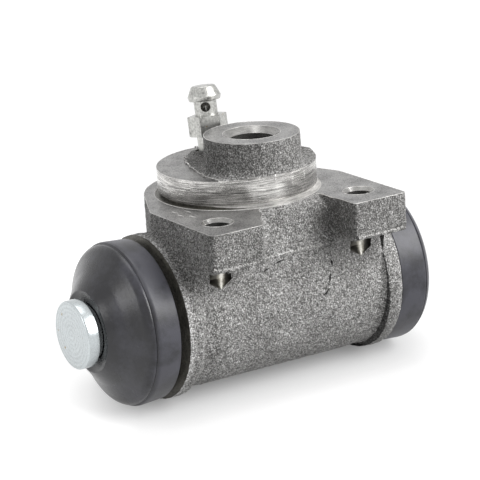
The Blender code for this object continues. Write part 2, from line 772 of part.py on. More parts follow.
def build_bleed_screw(axis, parts, guides, material):
    """Turn and drill the bleed screw: fluid enters above its cone and leaves at its neck."""
    screw = screw_blank(axis, parts)
    combine(screw, hexagon_blank(axis, guides), 'UNION')
    inlet_height = screw_tip() + SHANK_RADIUS - SCREW_TIP_RADIUS + INLET_RISE
    outlet_height = HEX_BOTTOM + HEX_HEIGHT + NIPPLE_NECK_LENGTH - OUTLET_DROP
    passage = drilling("screw_passage", SCREW_DRILLING_RADIUS, inlet_height, outlet_height, axis, guides)
    inlet = drilling("screw_inlet", SCREW_DRILLING_RADIUS, -2 * SHANK_RADIUS, 2 * SHANK_RADIUS, axis, guides)
    inlet.location = (0.0, 0.0, inlet_height)
    inlet.rotation_euler = (math.pi / 2, 0.0, 0.0)
    outlet = drilling("screw_outlet", OUTLET_RADIUS, 0.0, 2 * SHANK_RADIUS, axis, guides)
    outlet.location = (0.0, 0.0, outlet_height)
    outlet.rotation_euler = (math.pi / 2, 0.0, OUTLET_ANGLE)
    for drill in (passage, inlet, outlet):
        combine(screw, drill, 'DIFFERENCE')
    apply_modifiers(screw)
    screw.data.materials.append(material)
    return screw


def main():
    """Build every piece of the wheel cylinder."""
    clear_scene()
    parts = new_collection(PRODUCT)
    guides = new_collection("cutters")
    cast_iron = new_material("cast_iron", (0.30, 0.29, 0.28), 0.62, 0.75)
    zinc = new_material("zinc_plated_steel", (0.72, 0.73, 0.72), 0.30, 1.0)
    steel = new_material("spring_steel", (0.42, 0.42, 0.43), 0.35, 1.0)
    rubber = new_material("black_rubber", (0.035, 0.035, 0.038), 0.55, 0.0)

    screw_axis = bleed_axis("bleed_axis", parts)
    build_housing(parts, guides, screw_axis, cast_iron)
    build_bleed_screw(screw_axis, parts, guides, zinc)
    for side, word, out in ((-1, "left", LEFT_PISTON_OUT), (1, "right", RIGHT_PISTON_OUT)):
        axis = bore_axis(word + "_bore_axis", side, parts)
        build_piston(word + "_piston", axis, out, parts, zinc)
        build_cup(word + "_cup_seal", axis, out, parts, rubber)
        build_expander(word + "_cup_expander", axis, out, parts, steel)
        build_boot(word + "_dust_boot", axis, out, parts, rubber)
    build_spring(parts, steel)
    for guide in guides.objects:
        guide.hide_render = True
        guide.display_type = 'WIRE'


main()
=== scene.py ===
# %% [markdown]
# # A drum-brake wheel cylinder
#
# A wheel cylinder sits at the top of a drum brake. Brake fluid comes in through the round boss and
# pushes two pistons out of the ends of a cast-iron barrel, against the brake shoes. Rubber boots
# keep dust out, and a small screw beside the boss lets trapped air out.
#
# This lesson builds that object in Blender the way a foundry and a machine shop would: first a
# rough casting, then crisp machined faces cut into it, then the turned, plated and moulded pieces.

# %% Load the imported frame
import math
import random
import bpy
from mathutils import Matrix, Vector


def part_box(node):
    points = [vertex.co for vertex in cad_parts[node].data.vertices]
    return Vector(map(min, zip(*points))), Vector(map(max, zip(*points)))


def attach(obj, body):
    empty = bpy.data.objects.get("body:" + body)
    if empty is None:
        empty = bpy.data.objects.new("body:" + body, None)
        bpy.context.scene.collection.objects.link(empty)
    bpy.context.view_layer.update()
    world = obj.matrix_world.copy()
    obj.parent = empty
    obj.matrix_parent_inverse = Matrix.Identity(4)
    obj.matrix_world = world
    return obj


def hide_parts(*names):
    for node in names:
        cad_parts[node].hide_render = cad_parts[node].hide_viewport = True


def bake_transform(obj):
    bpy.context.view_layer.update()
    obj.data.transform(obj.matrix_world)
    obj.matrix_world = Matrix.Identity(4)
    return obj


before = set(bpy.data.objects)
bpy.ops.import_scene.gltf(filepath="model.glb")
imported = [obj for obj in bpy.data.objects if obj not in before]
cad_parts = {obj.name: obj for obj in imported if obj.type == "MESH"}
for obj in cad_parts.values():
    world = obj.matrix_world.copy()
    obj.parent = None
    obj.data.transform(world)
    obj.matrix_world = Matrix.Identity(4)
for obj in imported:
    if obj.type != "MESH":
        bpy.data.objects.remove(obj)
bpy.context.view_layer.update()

print("nodes:", sorted(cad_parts))

# %% [markdown]
# ## Working by operators
#
# Most of Blender's operators act on whatever is selected, and the frame that was just loaded is
# still selected. So each step starts by deselecting everything. Three helpers cover most of the
# modelling: one draws a line of points by extruding, one spins such a line about an axis as a lathe
# does, and one sweeps a closed outline into a solid, as a milling cutter or a mould half would
# leave it.
#
# Outlines and profiles are in millimetres, as on a drawing. The helpers turn them into metres,
# which is what the frame uses, so places such as the start of an axis are in metres.

# %% Selecting and applying
MM = 0.001
MERGE_WITHIN = 0.001 * MM


def select_only(*pieces):
    """Select these objects and nothing else, and make the first one active."""
    if bpy.context.object and bpy.context.object.mode != 'OBJECT':
        bpy.ops.object.mode_set(mode='OBJECT')
    bpy.ops.object.select_all(action='DESELECT')
    for piece in pieces:
        piece.select_set(True)
    bpy.context.view_layer.objects.active = pieces[0] if pieces else None


def apply_modifier(piece, modifier):
    """Apply one modifier to a piece."""
    select_only(piece)
    bpy.ops.object.modifier_apply(modifier=modifier.name)


def tidy_mesh(piece):
    """Merge doubled points, and turn every face outwards."""
    select_only(piece)
    bpy.ops.object.mode_set(mode='EDIT')
    bpy.ops.mesh.select_all(action='SELECT')
    bpy.ops.mesh.remove_doubles(threshold=MERGE_WITHIN)
    bpy.ops.mesh.normals_make_consistent(inside=False)
    bpy.ops.object.mode_set(mode='OBJECT')


# %% Drawing a line of points
def draw_line(name, points):
    """Shrink a small plane to one point, then extrude it from point to point, in metres."""
    select_only()
    bpy.ops.mesh.primitive_plane_add(size=MM, location=points[0])
    piece = bpy.context.object
    piece.name = piece.data.name = name
    bpy.ops.object.transform_apply(location=True, rotation=True, scale=True)
    bpy.ops.object.mode_set(mode='EDIT')
    bpy.ops.mesh.select_all(action='SELECT')
    bpy.ops.mesh.merge(type='CENTER')
    for before, after in zip(points, points[1:]):
        step = Vector(after) - Vector(before)
        bpy.ops.mesh.extrude_region_move(TRANSFORM_OT_translate={"value": step})
    bpy.ops.object.mode_set(mode='OBJECT')
    return piece


# %% Rounding the corners of an outline
def rounded(corners, closed=False, steps=6):
    """Turn corners (a, b) or (a, b, radius) into points, with an arc where there is a radius."""
    points = []
    count = len(corners)
    for index, corner in enumerate(corners):
        here = Vector(corner[:2])
        radius = corner[2] if len(corner) > 2 else 0.0
        if radius == 0.0 or (not closed and index in (0, count - 1)):
            points.append(tuple(here))
            continue
        back = (Vector(corners[index - 1][:2]) - here).normalized()
        ahead = (Vector(corners[(index + 1) % count][:2]) - here).normalized()
        half_angle = back.angle(ahead) / 2
        centre = here + (back + ahead).normalized() * (radius / math.sin(half_angle))
        arm = here + back * (radius / math.tan(half_angle)) - centre
        turn = (math.pi - 2 * half_angle) * (1 if back.cross(ahead) < 0 else -1)
        for step in range(steps + 1):
            points.append(tuple(centre + Matrix.Rotation(turn * step / steps, 2) @ arm))
    return points


# %% The lathe
def lathe(name, origin, axis, profile, steps=96, ring=False):
    """Spin a profile of (radius, distance along the axis) into a closed solid.

    A plain profile starts and ends on the axis, and a ring's goes all the way round.
    """
    origin, axis = Vector(origin), Vector(axis).normalized()
    side = axis.orthogonal().normalized()
    points = [origin + (side * radius + axis * along) * MM for radius, along in profile]
    if ring:
        points.append(points[0])
    piece = draw_line(name, points)
    bpy.ops.object.mode_set(mode='EDIT')
    bpy.ops.mesh.select_all(action='SELECT')
    bpy.ops.mesh.spin(steps=steps, angle=2 * math.pi, center=origin, axis=axis)
    bpy.ops.object.mode_set(mode='OBJECT')
    tidy_mesh(piece)
    return piece


# %% Sweeping an outline
def sweep(name, points, along):
    """Fill a closed outline of points and extrude it along a vector."""
    piece = draw_line(name, [Vector(point) * MM for point in points])
    bpy.ops.object.mode_set(mode='EDIT')
    bpy.ops.mesh.select_all(action='SELECT')
    bpy.ops.mesh.edge_face_add()
    bpy.ops.mesh.extrude_region_move(TRANSFORM_OT_translate={"value": Vector(along) * MM})
    bpy.ops.object.mode_set(mode='OBJECT')
    tidy_mesh(piece)
    return piece


# %% Adding, cutting and keeping
def combine(piece, tool, operation='DIFFERENCE'):
    """Cut a tool from a piece, add it, or keep what they share.

    The cut faces keep the tool's material, and the tool is used up.
    """
    boolean = piece.modifiers.new(tool.name, 'BOOLEAN')
    boolean.object = tool
    boolean.operation = operation
    boolean.solver = 'MANIFOLD'
    boolean.material_mode = 'TRANSFER'
    apply_modifier(piece, boolean)
    bpy.data.objects.remove(tool, do_unlink=True)


def finish_shading(piece, degrees=32):
    """Shade a piece smooth, with crisp edges wherever faces meet at more than an angle."""
    select_only(piece)
    bpy.ops.object.shade_smooth_by_angle(angle=math.radians(degrees))
    print(piece.name, len(piece.data.polygons), "faces")


# %% [markdown]
# ## Places that everything shares
#
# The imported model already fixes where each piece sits, so the main places are read from it: the
# axis of the bore from the left piston's box, and the faces of both noses. The other sizes are the
# real ones, as a drawing of the part would give them. A place is a vector in metres, and a size is
# in millimetres.

# %% Main places
left_low, left_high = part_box("left_piston")
right_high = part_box("right_piston")[1]
BORE = Vector((0.0, (left_low.y + left_high.y) / 2, (left_low.z + left_high.z) / 2))
BORE_Y, BORE_Z = BORE.y / MM, BORE.z / MM
LEFT_FACE = left_low.x / MM
RIGHT_FACE = right_high.x / MM
ALONG = Vector((1.0, 0.0, 0.0))
UP = Vector((0.0, 0.0, 1.0))
BOSS = Vector((0.0, -6.5 * MM, 0.0))
BLEED = Vector((0.0, 9.2 * MM, 5.5 * MM))
BLEED_LEAN = math.radians(8.0)
BLEED_UP = Vector((0.0, math.sin(BLEED_LEAN), math.cos(BLEED_LEAN)))
print("bore axis at y", round(BORE_Y, 2), "and z", round(BORE_Z, 2), "mm")

# %% [markdown]
# ## Finishes
#
# Four finishes make up the object: the sandy skin that grey iron has when it comes out of a sand
# mould, the smooth iron where a tool has cut that skin away, bright zinc plate over turned steel,
# and moulded rubber. Two effects are shared: grain, as of sand or fine pitting, and the fine rings
# that a lathe leaves. Each is a node group, built once, with its own inputs, so every material can
# use it at its own scale. Shaders stay in the materials, because a group only hands out masks and
# heights.
#
# A material's sums are math nodes, so four short helpers write them: plus, times, centred and
# risen.

# %% Starting a node group and a material
def new_group(name, inputs, outputs):
    """Make a node group with float or vector inputs and float outputs."""
    group = bpy.data.node_groups.new(name, 'ShaderNodeTree')
    for label, value in inputs:
        kind = 'NodeSocketVector' if value is None else 'NodeSocketFloat'
        socket = group.interface.new_socket(label, in_out='INPUT', socket_type=kind)
        if value is not None:
            socket.default_value = value
    for label in outputs:
        group.interface.new_socket(label, in_out='OUTPUT', socket_type='NodeSocketFloat')
    entry = group.nodes.new('NodeGroupInput')
    leave = group.nodes.new('NodeGroupOutput')
    return group, entry.outputs, leave.inputs


def math_node(tree, operation, first, second=0.0):
    """Add a math node. Each input is a number or another node's output."""
    node = tree.nodes.new('ShaderNodeMath')
    node.operation = operation
    for socket, value in zip(node.inputs, (first, second)):
        if isinstance(value, (int, float)):
            socket.default_value = value
        else:
            tree.links.new(value, socket)
    return node.outputs[0]


def plus(tree, first, *others):
    """Add values up."""
    total = first
    for value in others:
        total = math_node(tree, 'ADD', total, value)
    return total


def times(tree, value, amount):
    """Multiply a value by an amount."""
    return math_node(tree, 'MULTIPLY', value, amount)


def centred(tree, value, middle, amount):
    """How far a value lies above a middle, times an amount."""
    return times(tree, math_node(tree, 'SUBTRACT', value, middle), amount)


def risen(tree, value, start, reach):
    """How far a value is past a start, as a share of a reach that is kept between 0 and 1."""
    share = math_node(tree, 'DIVIDE', math_node(tree, 'SUBTRACT', value, start), reach)
    share.node.use_clamp = True
    return share


def ramp_node(tree, value, stops):
    """Add a colour ramp. Each stop is (position, (red, green, blue))."""
    node = tree.nodes.new('ShaderNodeValToRGB')
    ramp = node.color_ramp
    while len(ramp.elements) < len(stops):
        ramp.elements.new(1.0)
    for element, (position, colour) in zip(ramp.elements, stops):
        element.position = position
        element.color = (*colour, 1.0)
    tree.links.new(value, node.inputs[0])
    return node.outputs[0]


def noise_node(tree, vector, scale, detail, roughness):
    """Add a noise texture that reads a vector, and return its height."""
    node = tree.nodes.new('ShaderNodeTexNoise')
    node.inputs['Scale'].default_value = scale
    node.inputs['Detail'].default_value = detail
    node.inputs['Roughness'].default_value = roughness
    tree.links.new(vector, node.inputs['Vector'])
    return node.outputs['Fac']


# %% The grain group
def make_grain_group():
    """Speckle, height and slow mottling. Grain Size and Mottle Size are lengths in metres."""
    group, given, result = new_group(
        "grain", [("Place", None), ("Grain Size", 0.0005), ("Mottle Size", 0.006)],
        ["Speckle", "Height", "Mottle"])
    fine = group.nodes.new('ShaderNodeTexNoise')
    fine.inputs['Detail'].default_value = 1.5
    fine.inputs['Roughness'].default_value = 0.6
    cells = group.nodes.new('ShaderNodeTexVoronoi')
    cells.feature = 'F1'
    slow = group.nodes.new('ShaderNodeTexNoise')
    slow.inputs['Detail'].default_value = 3.0
    for node, size in ((fine, "Grain Size"), (cells, "Grain Size"), (slow, "Mottle Size")):
        group.links.new(given["Place"], node.inputs['Vector'])
        group.links.new(math_node(group, 'DIVIDE', 1.0, given[size]), node.inputs['Scale'])
    peaks = centred(group, cells.outputs['Distance'], 0.42, -0.5)
    total = plus(group, peaks, fine.outputs['Fac'])
    group.links.new(total, result["Speckle"])
    group.links.new(total, result["Height"])
    group.links.new(slow.outputs['Fac'], result["Mottle"])
    return group


GRAIN = make_grain_group()


# %% The tool-mark group
def make_tool_mark_group():
    """Rings from a lathe. Along is the distance that the tool had moved, in metres."""
    group, given, result = new_group(
        "tool_marks", [("Along", 0.0), ("Spacing", 0.0003), ("Wander", 0.5)], ["Ring", "Streak"])
    count = math_node(group, 'DIVIDE', given["Along"], given["Spacing"])
    streak = group.nodes.new('ShaderNodeTexNoise')
    streak.noise_dimensions = '1D'
    streak.inputs['Scale'].default_value = 0.45
    streak.inputs['Detail'].default_value = 4.0
    streak.inputs['Roughness'].default_value = 0.7
    group.links.new(count, streak.inputs['W'])
    wandered = plus(group, count, times(group, streak.outputs['Fac'], given["Wander"]))
    wave = math_node(group, 'SINE', times(group, wandered, 2 * math.pi))
    group.links.new(times(group, wave, 0.5), result["Ring"])
    group.links.new(streak.outputs['Fac'], result["Streak"])
    return group


TOOL_MARKS = make_tool_mark_group()


# %% Starting a material
def new_material(name, metallic, roughness):
    """Make a material, and return it with its tree, its shader and its object coordinates."""
    material = bpy.data.materials.new(name)
    material.use_nodes = True
    tree = material.node_tree
    shader = tree.nodes['Principled BSDF']
    shader.inputs['Metallic'].default_value = metallic
    shader.inputs['Roughness'].default_value = roughness
    place = tree.nodes.new('ShaderNodeTexCoord').outputs['Object']
    return material, tree, shader, place


def add_group(tree, group, **values):
    """Place a node group. Values are numbers or outputs, named as its inputs with _ for a space."""
    node = tree.nodes.new('ShaderNodeGroup')
    node.node_tree = group
    for label, value in values.items():
        socket = node.inputs[label.replace("_", " ")]
        if isinstance(value, (int, float)):
            socket.default_value = value
        else:
            tree.links.new(value, socket)
    return node.outputs


def add_bump(tree, shader, height, depth, strength=1.0):
    """Feed a height, in units of a depth in metres, to the shader's normal."""
    bump = tree.nodes.new('ShaderNodeBump')
    bump.inputs['Strength'].default_value = strength
    bump.inputs['Distance'].default_value = depth
    tree.links.new(height, bump.inputs['Height'])
    tree.links.new(bump.outputs['Normal'], shader.inputs['Normal'])


# %% Distance along an axis or from it
def tool_distance(tree, place, centre, axis, radial):
    """Distance of each point along an axis, or its radius round that axis."""
    offset = tree.nodes.new('ShaderNodeVectorMath')
    offset.operation = 'SUBTRACT'
    offset.inputs[1].default_value = centre
    tree.links.new(place, offset.inputs[0])
    along = tree.nodes.new('ShaderNodeVectorMath')
    along.operation = 'DOT_PRODUCT'
    along.inputs[1].default_value = axis
    tree.links.new(offset.outputs[0], along.inputs[0])
    if not radial:
        return along.outputs['Value']
    length = tree.nodes.new('ShaderNodeVectorMath')
    length.operation = 'LENGTH'
    tree.links.new(offset.outputs[0], length.inputs[0])
    whole, part = length.outputs['Value'], along.outputs['Value']
    square = math_node(tree, 'SUBTRACT', times(tree, whole, whole), times(tree, part, part))
    return math_node(tree, 'SQRT', math_node(tree, 'MAXIMUM', square, 0.0))


# %% [markdown]
# ### Sand-cast iron
#
# Molten iron takes the print of the sand grains, so the skin is a mass of tiny pits and peaks, a
# third of a millimetre to nearly one across. Peaks look light and pits look dark, so the same grain
# drives the colour and the height, and a slow mottle keeps the surface from looking like wallpaper.
#
# The skin isn't equally grey all over. The step is a little darker. The fronts of the lugs are
# painted a little darker, as shade, the collars at the barrel's ends are painted lighter, as a
# highlight, and the corner beside the right lug is painted dark, as the shade that falls there.
# Each of these shifts the tone along one direction or round one point. Hollows are painted darker,
# as shade, and ridges are painted brighter, as a highlight, so they get the same skin in another
# tone.

# %% Sand-cast iron
# Painted shade on the fronts of the lugs, and a painted highlight on the collars at the barrel's
# ends.
TONE_SHIFTS = [  # (place in mm, direction, reach in mm, amount)
    ((0.0, 0.0, 4.0), (0, 0, 1), 3.0, -0.055), ((0.0, -23.0, 0.0), (0, -1, 0), 3.0, -0.045),
    ((-23.2, 0.0, 0.0), (-1, 0, 0), 1.2, 0.11), ((23.4, 0.0, 0.0), (1, 0, 0), 1.2, 0.05)]
# The corner beside the right lug is painted dark, as the shade that falls there.
PAINTED_SHADE_CORNER = Vector((9.2, -20.5, -2.5)) * MM
PAINTED_SHADE_REACH = 7.0 * MM
PAINTED_SHADE_AMOUNT = -0.17
SKIN_TONES = [(0.30, (0.11, 0.108, 0.104)), (0.44, (0.29, 0.286, 0.279)),
              (0.56, (0.45, 0.444, 0.436)), (0.68, (0.88, 0.87, 0.865))]


def make_cast_iron(name, brightness):
    """Grey iron as it leaves a sand mould.

    Below a brightness of one it is painted darker, as shade, and above one it is painted brighter,
    as a highlight.
    """
    material, tree, shader, place = new_material(name, 0.0, 0.62)
    shader.inputs['Specular IOR Level'].default_value = 0.2
    grain = add_group(tree, GRAIN, Place=place, Grain_Size=0.3 * MM, Mottle_Size=7.0 * MM)
    coarse = add_group(tree, GRAIN, Place=place, Grain_Size=0.8 * MM, Mottle_Size=2.5 * MM)
    print_of_sand = plus(
        tree, times(tree, grain["Speckle"], 0.75), times(tree, coarse["Speckle"], 0.25))
    tone = plus(tree, print_of_sand, centred(tree, grain["Mottle"], 0.5, 0.18))
    for where, direction, reach, amount in TONE_SHIFTS:
        beyond = tool_distance(tree, place, Vector(where) * MM, direction, False)
        tone = plus(tree, tone, times(tree, risen(tree, beyond, 0.0, reach * MM), amount))
    # Painted shade in the corner beside the right lug.
    corner = tree.nodes.new('ShaderNodeVectorMath')
    corner.operation = 'DISTANCE'
    corner.inputs[1].default_value = PAINTED_SHADE_CORNER
    tree.links.new(place, corner.inputs[0])
    corner_shade = risen(tree, corner.outputs['Value'], PAINTED_SHADE_REACH, -PAINTED_SHADE_REACH)
    tone = plus(tree, tone, times(tree, corner_shade, PAINTED_SHADE_AMOUNT))
    stops = [(stop, tuple(min(1.0, brightness * part) for part in shade))
             for stop, shade in SKIN_TONES]
    tree.links.new(ramp_node(tree, tone, stops), shader.inputs['Base Color'])
    add_bump(tree, shader, print_of_sand, 0.3 * MM, 0.8)
    return material


CAST_IRON = make_cast_iron("cast_iron_skin", 1.0)
# The hollow finish is painted darker, as shade, and the ridge finish is painted brighter, as a
# highlight.
HOLLOW_SHADE_IRON = make_cast_iron("cast_iron_hollow_shade", 0.45)
RIDGE_HIGHLIGHT_IRON = make_cast_iron("cast_iron_ridge_highlight", 1.6)
print("cast finishes:", CAST_IRON.name, HOLLOW_SHADE_IRON.name, RIDGE_HIGHLIGHT_IRON.name)

# %% [markdown]
# ### Machined iron
#
# Where a cutter has been, grey iron is smooth and pale, with a fine dark fleck of graphite and the
# marks of the tool. The marks are noise that is stretched along the way the tool moved: long and
# flat on the side of the register, which turned under the tool, and short on the milled pad. Two
# layers of it, one finer than the other, look like real feed marks. A hole is painted darker the
# deeper it goes, as the shade that falls inside it, and a fillet that the tool's nose left is dull.

# %% Machined iron
def make_machined_iron(name, lengths, colour, contrast, depth, roughness, speckle=0.45,
                       metallic=0.85, specular=0.5):
    """Iron cut on a machine.

    The marks are this long along X, Y and Z, and this deep, in millimetres.
    """
    material, tree, shader, place = new_material(name, metallic, roughness)
    shader.inputs['Specular IOR Level'].default_value = specular
    marks = []
    for factor, detail in ((1.0, 3.0), (0.38, 2.0)):
        stretch = tree.nodes.new('ShaderNodeVectorMath')
        stretch.operation = 'MULTIPLY'
        stretch.inputs[1].default_value = [1.0 / (factor * length * MM) for length in lengths]
        tree.links.new(place, stretch.inputs[0])
        marks.append(times(tree, noise_node(tree, stretch.outputs[0], 1.0, detail, 0.6), 0.5))
    streak = plus(tree, *marks)
    grain = add_group(tree, GRAIN, Place=place, Grain_Size=0.28 * MM, Mottle_Size=5.0 * MM)
    tone = plus(tree, centred(tree, streak, 0.5, contrast),
                centred(tree, grain["Speckle"], 0.5, speckle), times(tree, grain["Mottle"], 0.8))
    dark = tuple(0.30 * part for part in colour)
    light = tuple(min(1.0, 1.9 * part) for part in colour)
    colours = ramp_node(tree, tone, [(0.0, dark), (0.4, colour), (0.9, light)])
    tree.links.new(colours, shader.inputs['Base Color'])
    add_bump(tree, shader, plus(tree, streak, times(tree, grain["Height"], 0.4)), depth * MM)
    return material


DRILL_MARKS = (3.0, 3.0, 0.4)
PAD_IRON = make_machined_iron(
    "milled_iron", (1.6, 1.0, 1.0), (0.30, 0.295, 0.291), 0.5, 0.022, 0.42, 0.9)
TURNED_IRON = make_machined_iron(
    "turned_register", (6.5, 6.5, 0.22), (0.53, 0.52, 0.503), 3.2, 0.035, 0.27, 0.3)
FOOT_IRON = make_machined_iron(
    "turned_foot", (6.5, 6.5, 0.4), (0.40, 0.39, 0.375), 2.0, 0.035, 0.5, 0.3,
    metallic=0.0, specular=0.2)
# The shoulder finish is also given to the undercut and the cross hole, where it paints their shade.
SHOULDER_IRON = make_machined_iron(
    "turned_shoulder", (0.3, 1.6, 1.6), (0.13, 0.124, 0.106), 1.8, 0.03, 0.42, metallic=0.35)
HOLE_IRON = make_machined_iron(
    "drilled_iron", DRILL_MARKS, (0.30, 0.295, 0.285), 0.8, 0.004, 0.22, 0.1)
# Iron painted dark, as the shade deep inside a hole.
HOLE_SHADE_IRON = make_machined_iron(
    "drilled_iron_shade", DRILL_MARKS, (0.07, 0.067, 0.061), 0.8, 0.004, 0.22, 0.1)
BURR_IRON = make_machined_iron(
    "burr_iron", (1.0, 1.0, 1.0), (0.62, 0.61, 0.59), 0.8, 0.004, 0.3, 0.6)
print("machined finishes:", [material.name for material in (
    PAD_IRON, TURNED_IRON, FOOT_IRON, SHOULDER_IRON, HOLE_IRON, HOLE_SHADE_IRON, BURR_IRON)])

# %% [markdown]
# The points of the two mounting holes show through small windows under the lugs. Such a cone is
# painted dark, as shade, with one painted highlight running down the middle of it, as the
# reflection that its hollow wall shows. So its colour goes from bright to dark with the distance
# from a plane through the hole's axis, and a little grain keeps the highlight uneven.

# %% Points of the drillings
HOLE_X, HOLE_Y = 16.4, -18.8
ACROSS_HIGHLIGHT = (0.857, -0.515, 0.0)
HIGHLIGHT_WIDTH = 2.5 * MM


def make_point_highlight_iron(name, side):
    """The point of a drilling on one side: painted shade, with a painted highlight down its middle.
    """
    material, tree, shader, place = new_material(name, 0.7, 0.3)
    centre = Vector((side * HOLE_X, HOLE_Y, 0.0)) * MM
    aside = math_node(tree, 'ABSOLUTE', tool_distance(tree, place, centre, ACROSS_HIGHLIGHT, False))
    grain = add_group(tree, GRAIN, Place=place, Grain_Size=0.7 * MM, Mottle_Size=5.0 * MM)
    uneven = plus(
        tree, times(tree, aside, 1.0 / HIGHLIGHT_WIDTH), centred(tree, grain["Speckle"], 0.5, 0.25))
    tree.links.new(ramp_node(tree, uneven, [
        (0.04, (0.95, 0.93, 0.86)), (0.15, (0.42, 0.40, 0.35)), (0.3, (0.12, 0.115, 0.10)),
        (0.9, (0.04, 0.038, 0.034))]), shader.inputs['Base Color'])
    add_bump(tree, shader, grain["Height"], 0.004 * MM)
    return material


POINT_HIGHLIGHT_IRON = {side: make_point_highlight_iron("drill_point_highlight", side) for side in (-1, 1)}
print("streaks on the drillings' points at x", [side * HOLE_X for side in POINT_HIGHLIGHT_IRON], "mm")

# %% [markdown]
# ## The casting
#
# The foundry's pattern is made of simple forms: a barrel with a collar at each end, a neck that
# rises from it to a flange, two lugs, a low round step, and the boss for the pipe. In sand all
# their corners come out soft. So each form is made on its own, then a voxel remesh melts them into
# one skin, and a smoothing pass rounds every corner and every joint at once, as the mould did. Each
# form stands a little proud wherever a tool will cut later.

# %% Barrel with its collars
BARREL_R = 15.4
COLLAR_R = 16.45
ALLOWANCE = 0.5

collar = [(0.0, -28.5), (COLLAR_R, -28.5), (COLLAR_R, -22.0, 0.7),
          (BARREL_R - 0.35, -20.9, 0.8), (BARREL_R + 0.02, -17.0, 8.0)]
mirrored = [(corner[0], -corner[1], *corner[2:]) for corner in reversed(collar)]
barrel = lathe("barrel", BORE, ALONG, rounded(collar + mirrored))
print("barrel", len(barrel.data.vertices), "points")


# %% Neck and lugs, seen from above
LUG_TOP = ALLOWANCE
DISC_R = 19.35
DISC_SHIFT = 0.6
LUG_BACK = -3.5
LUG_FRONT = -26.7
LUG_END = 22.4
WALL_FRONT, WALL_BACK = BORE_Y - 14.7, BORE_Y + 14.7

arc_angles = [math.radians(19.0 + 136.5 * step / 48) for step in range(49)]
disc_arc = [(DISC_SHIFT + DISC_R * math.cos(angle), DISC_R * math.sin(angle))
            for angle in arc_angles]
plan = rounded([
    (10.0, WALL_FRONT, 2.6), (10.0, LUG_FRONT, 0.6), (LUG_END, LUG_FRONT, 0.6),
    (LUG_END, LUG_BACK, 0.8), *disc_arc, (-LUG_END, LUG_BACK, 0.8),
    (-LUG_END, LUG_FRONT, 0.8), (-11.0, LUG_FRONT, 0.9),
    (-9.2, -22.8, 2.0), (-6.0, WALL_FRONT, 2.0)], closed=True)
neck = sweep("neck", [(x, y, BORE_Z) for x, y in plan], (0.0, 0.0, LUG_TOP - BORE_Z))
print("plan of the neck:", len(plan), "points")

# %% Neck and lugs, seen along the bore
section = rounded([
    (-28.0, LUG_TOP + 1.0), (-28.0, -6.2), (-25.2, -8.1, 1.6), (WALL_FRONT, -8.1, 3.0),
    (WALL_FRONT, BORE_Z - 1.0), (WALL_BACK, BORE_Z - 1.0), (WALL_BACK, -7.0, 4.0),
    (21.0, -7.0), (21.0, LUG_TOP + 1.0)], closed=True)
side_form = sweep("side_form", [(-24.0, y, z) for y, z in section], (48.0, 0.0, 0.0))
combine(neck, side_form, 'INTERSECT')
print("neck", len(neck.data.vertices), "points")

# %% [markdown]
# Between the lugs the pattern has a large draft: the wall's top edge slopes down before it reaches
# the step. A cone cut round the register, kept only between the lugs, leaves the slope.

# %% Sloping edge between the lugs
wedge = lathe("wedge", (0, 0, 0), UP, [
    (16.9, 0.15), (16.9, 4.0), (30.0, 4.0), (30.0, -6.0)], ring=True)
between = sweep("between", [(x, y, -8.0) for x, y in (
    (-11.4, -32.0), (-4.9, -14.0), (-4.9, -10.0), (9.6, -10.0), (9.6, -32.0))], (0.0, 0.0, 10.0))
combine(wedge, between, 'INTERSECT')
combine(neck, wedge)
print("neck with its slope", len(neck.data.vertices), "points")

# %% Step and boss
STEP_R = 16.0
STEP_TOP = 5.5
BOSS_TOP = 12.6
step_form = lathe("step_form", (0, 0, 0), UP, rounded([
    (0.0, STEP_TOP + 0.35), (STEP_R + 0.4, STEP_TOP + 0.35, 0.5),
    (STEP_R + 0.4, -3.0), (0.0, -3.0)]))
boss_form = lathe("boss_form", BOSS, UP, rounded([
    (0.0, BOSS_TOP + ALLOWANCE), (9.5, BOSS_TOP + ALLOWANCE), (9.75, STEP_TOP - 0.1, 2.2),
    (13.8, STEP_TOP + 0.1), (13.8, 2.0), (0.0, 2.0)]))
step_trim = lathe("step_trim", (0, 0, 0), UP, [
    (0.0, 20.0), (STEP_R - 0.15, 20.0), (STEP_R - 0.15, 1.0), (0.0, 1.0)])
combine(boss_form, step_trim, 'INTERSECT')
print("step", len(step_form.data.vertices), "points, boss", len(boss_form.data.vertices), "points")

# %% [markdown]
# Three small forms come on top. There is a lump on the rim of the step beside the boss, an accident
# of the mould. A low rim surrounds the bleed screw's hole. And the front of the barrel has a
# slightly raised field, where a plate was let into the pattern. It is left blank.

# %% Lump, rim of the bleed hole and blank field
bleed_rim = lathe("bleed_rim", BLEED, BLEED_UP, rounded([
    (0.0, 1.1), (3.9, 1.0, 0.3), (4.7, -1.0), (0.0, -1.0)]))
bpy.ops.mesh.primitive_uv_sphere_add(
    segments=24, ring_count=12, radius=2.6 * MM, location=Vector((14.6, -2.6, 4.4)) * MM)
lump = bpy.context.object
lump.name = "lump"
bpy.ops.object.mode_set(mode='EDIT')
bpy.ops.transform.resize(value=(0.9, 1.5, 0.72), center_override=lump.location)
bpy.ops.object.mode_set(mode='OBJECT')
bpy.ops.object.transform_apply(location=True, rotation=True, scale=True)

FIELD_R = BARREL_R + 0.16
field = sweep("field", [(x, -26.0, z) for x, z in rounded([
    (-7.8, -11.6, 2.6), (9.0, -11.6, 2.6), (9.0, -20.9, 2.6), (-7.8, -20.9, 2.6)], closed=True)],
    (0.0, 14.0, 0.0))
field_skin = lathe("field_skin", BORE, ALONG, [
    (0.0, -12.0), (FIELD_R, -12.0), (FIELD_R, 12.0), (0.0, 12.0)])
combine(field, field_skin, 'INTERSECT')
print("blank field", len(field.data.vertices), "points")

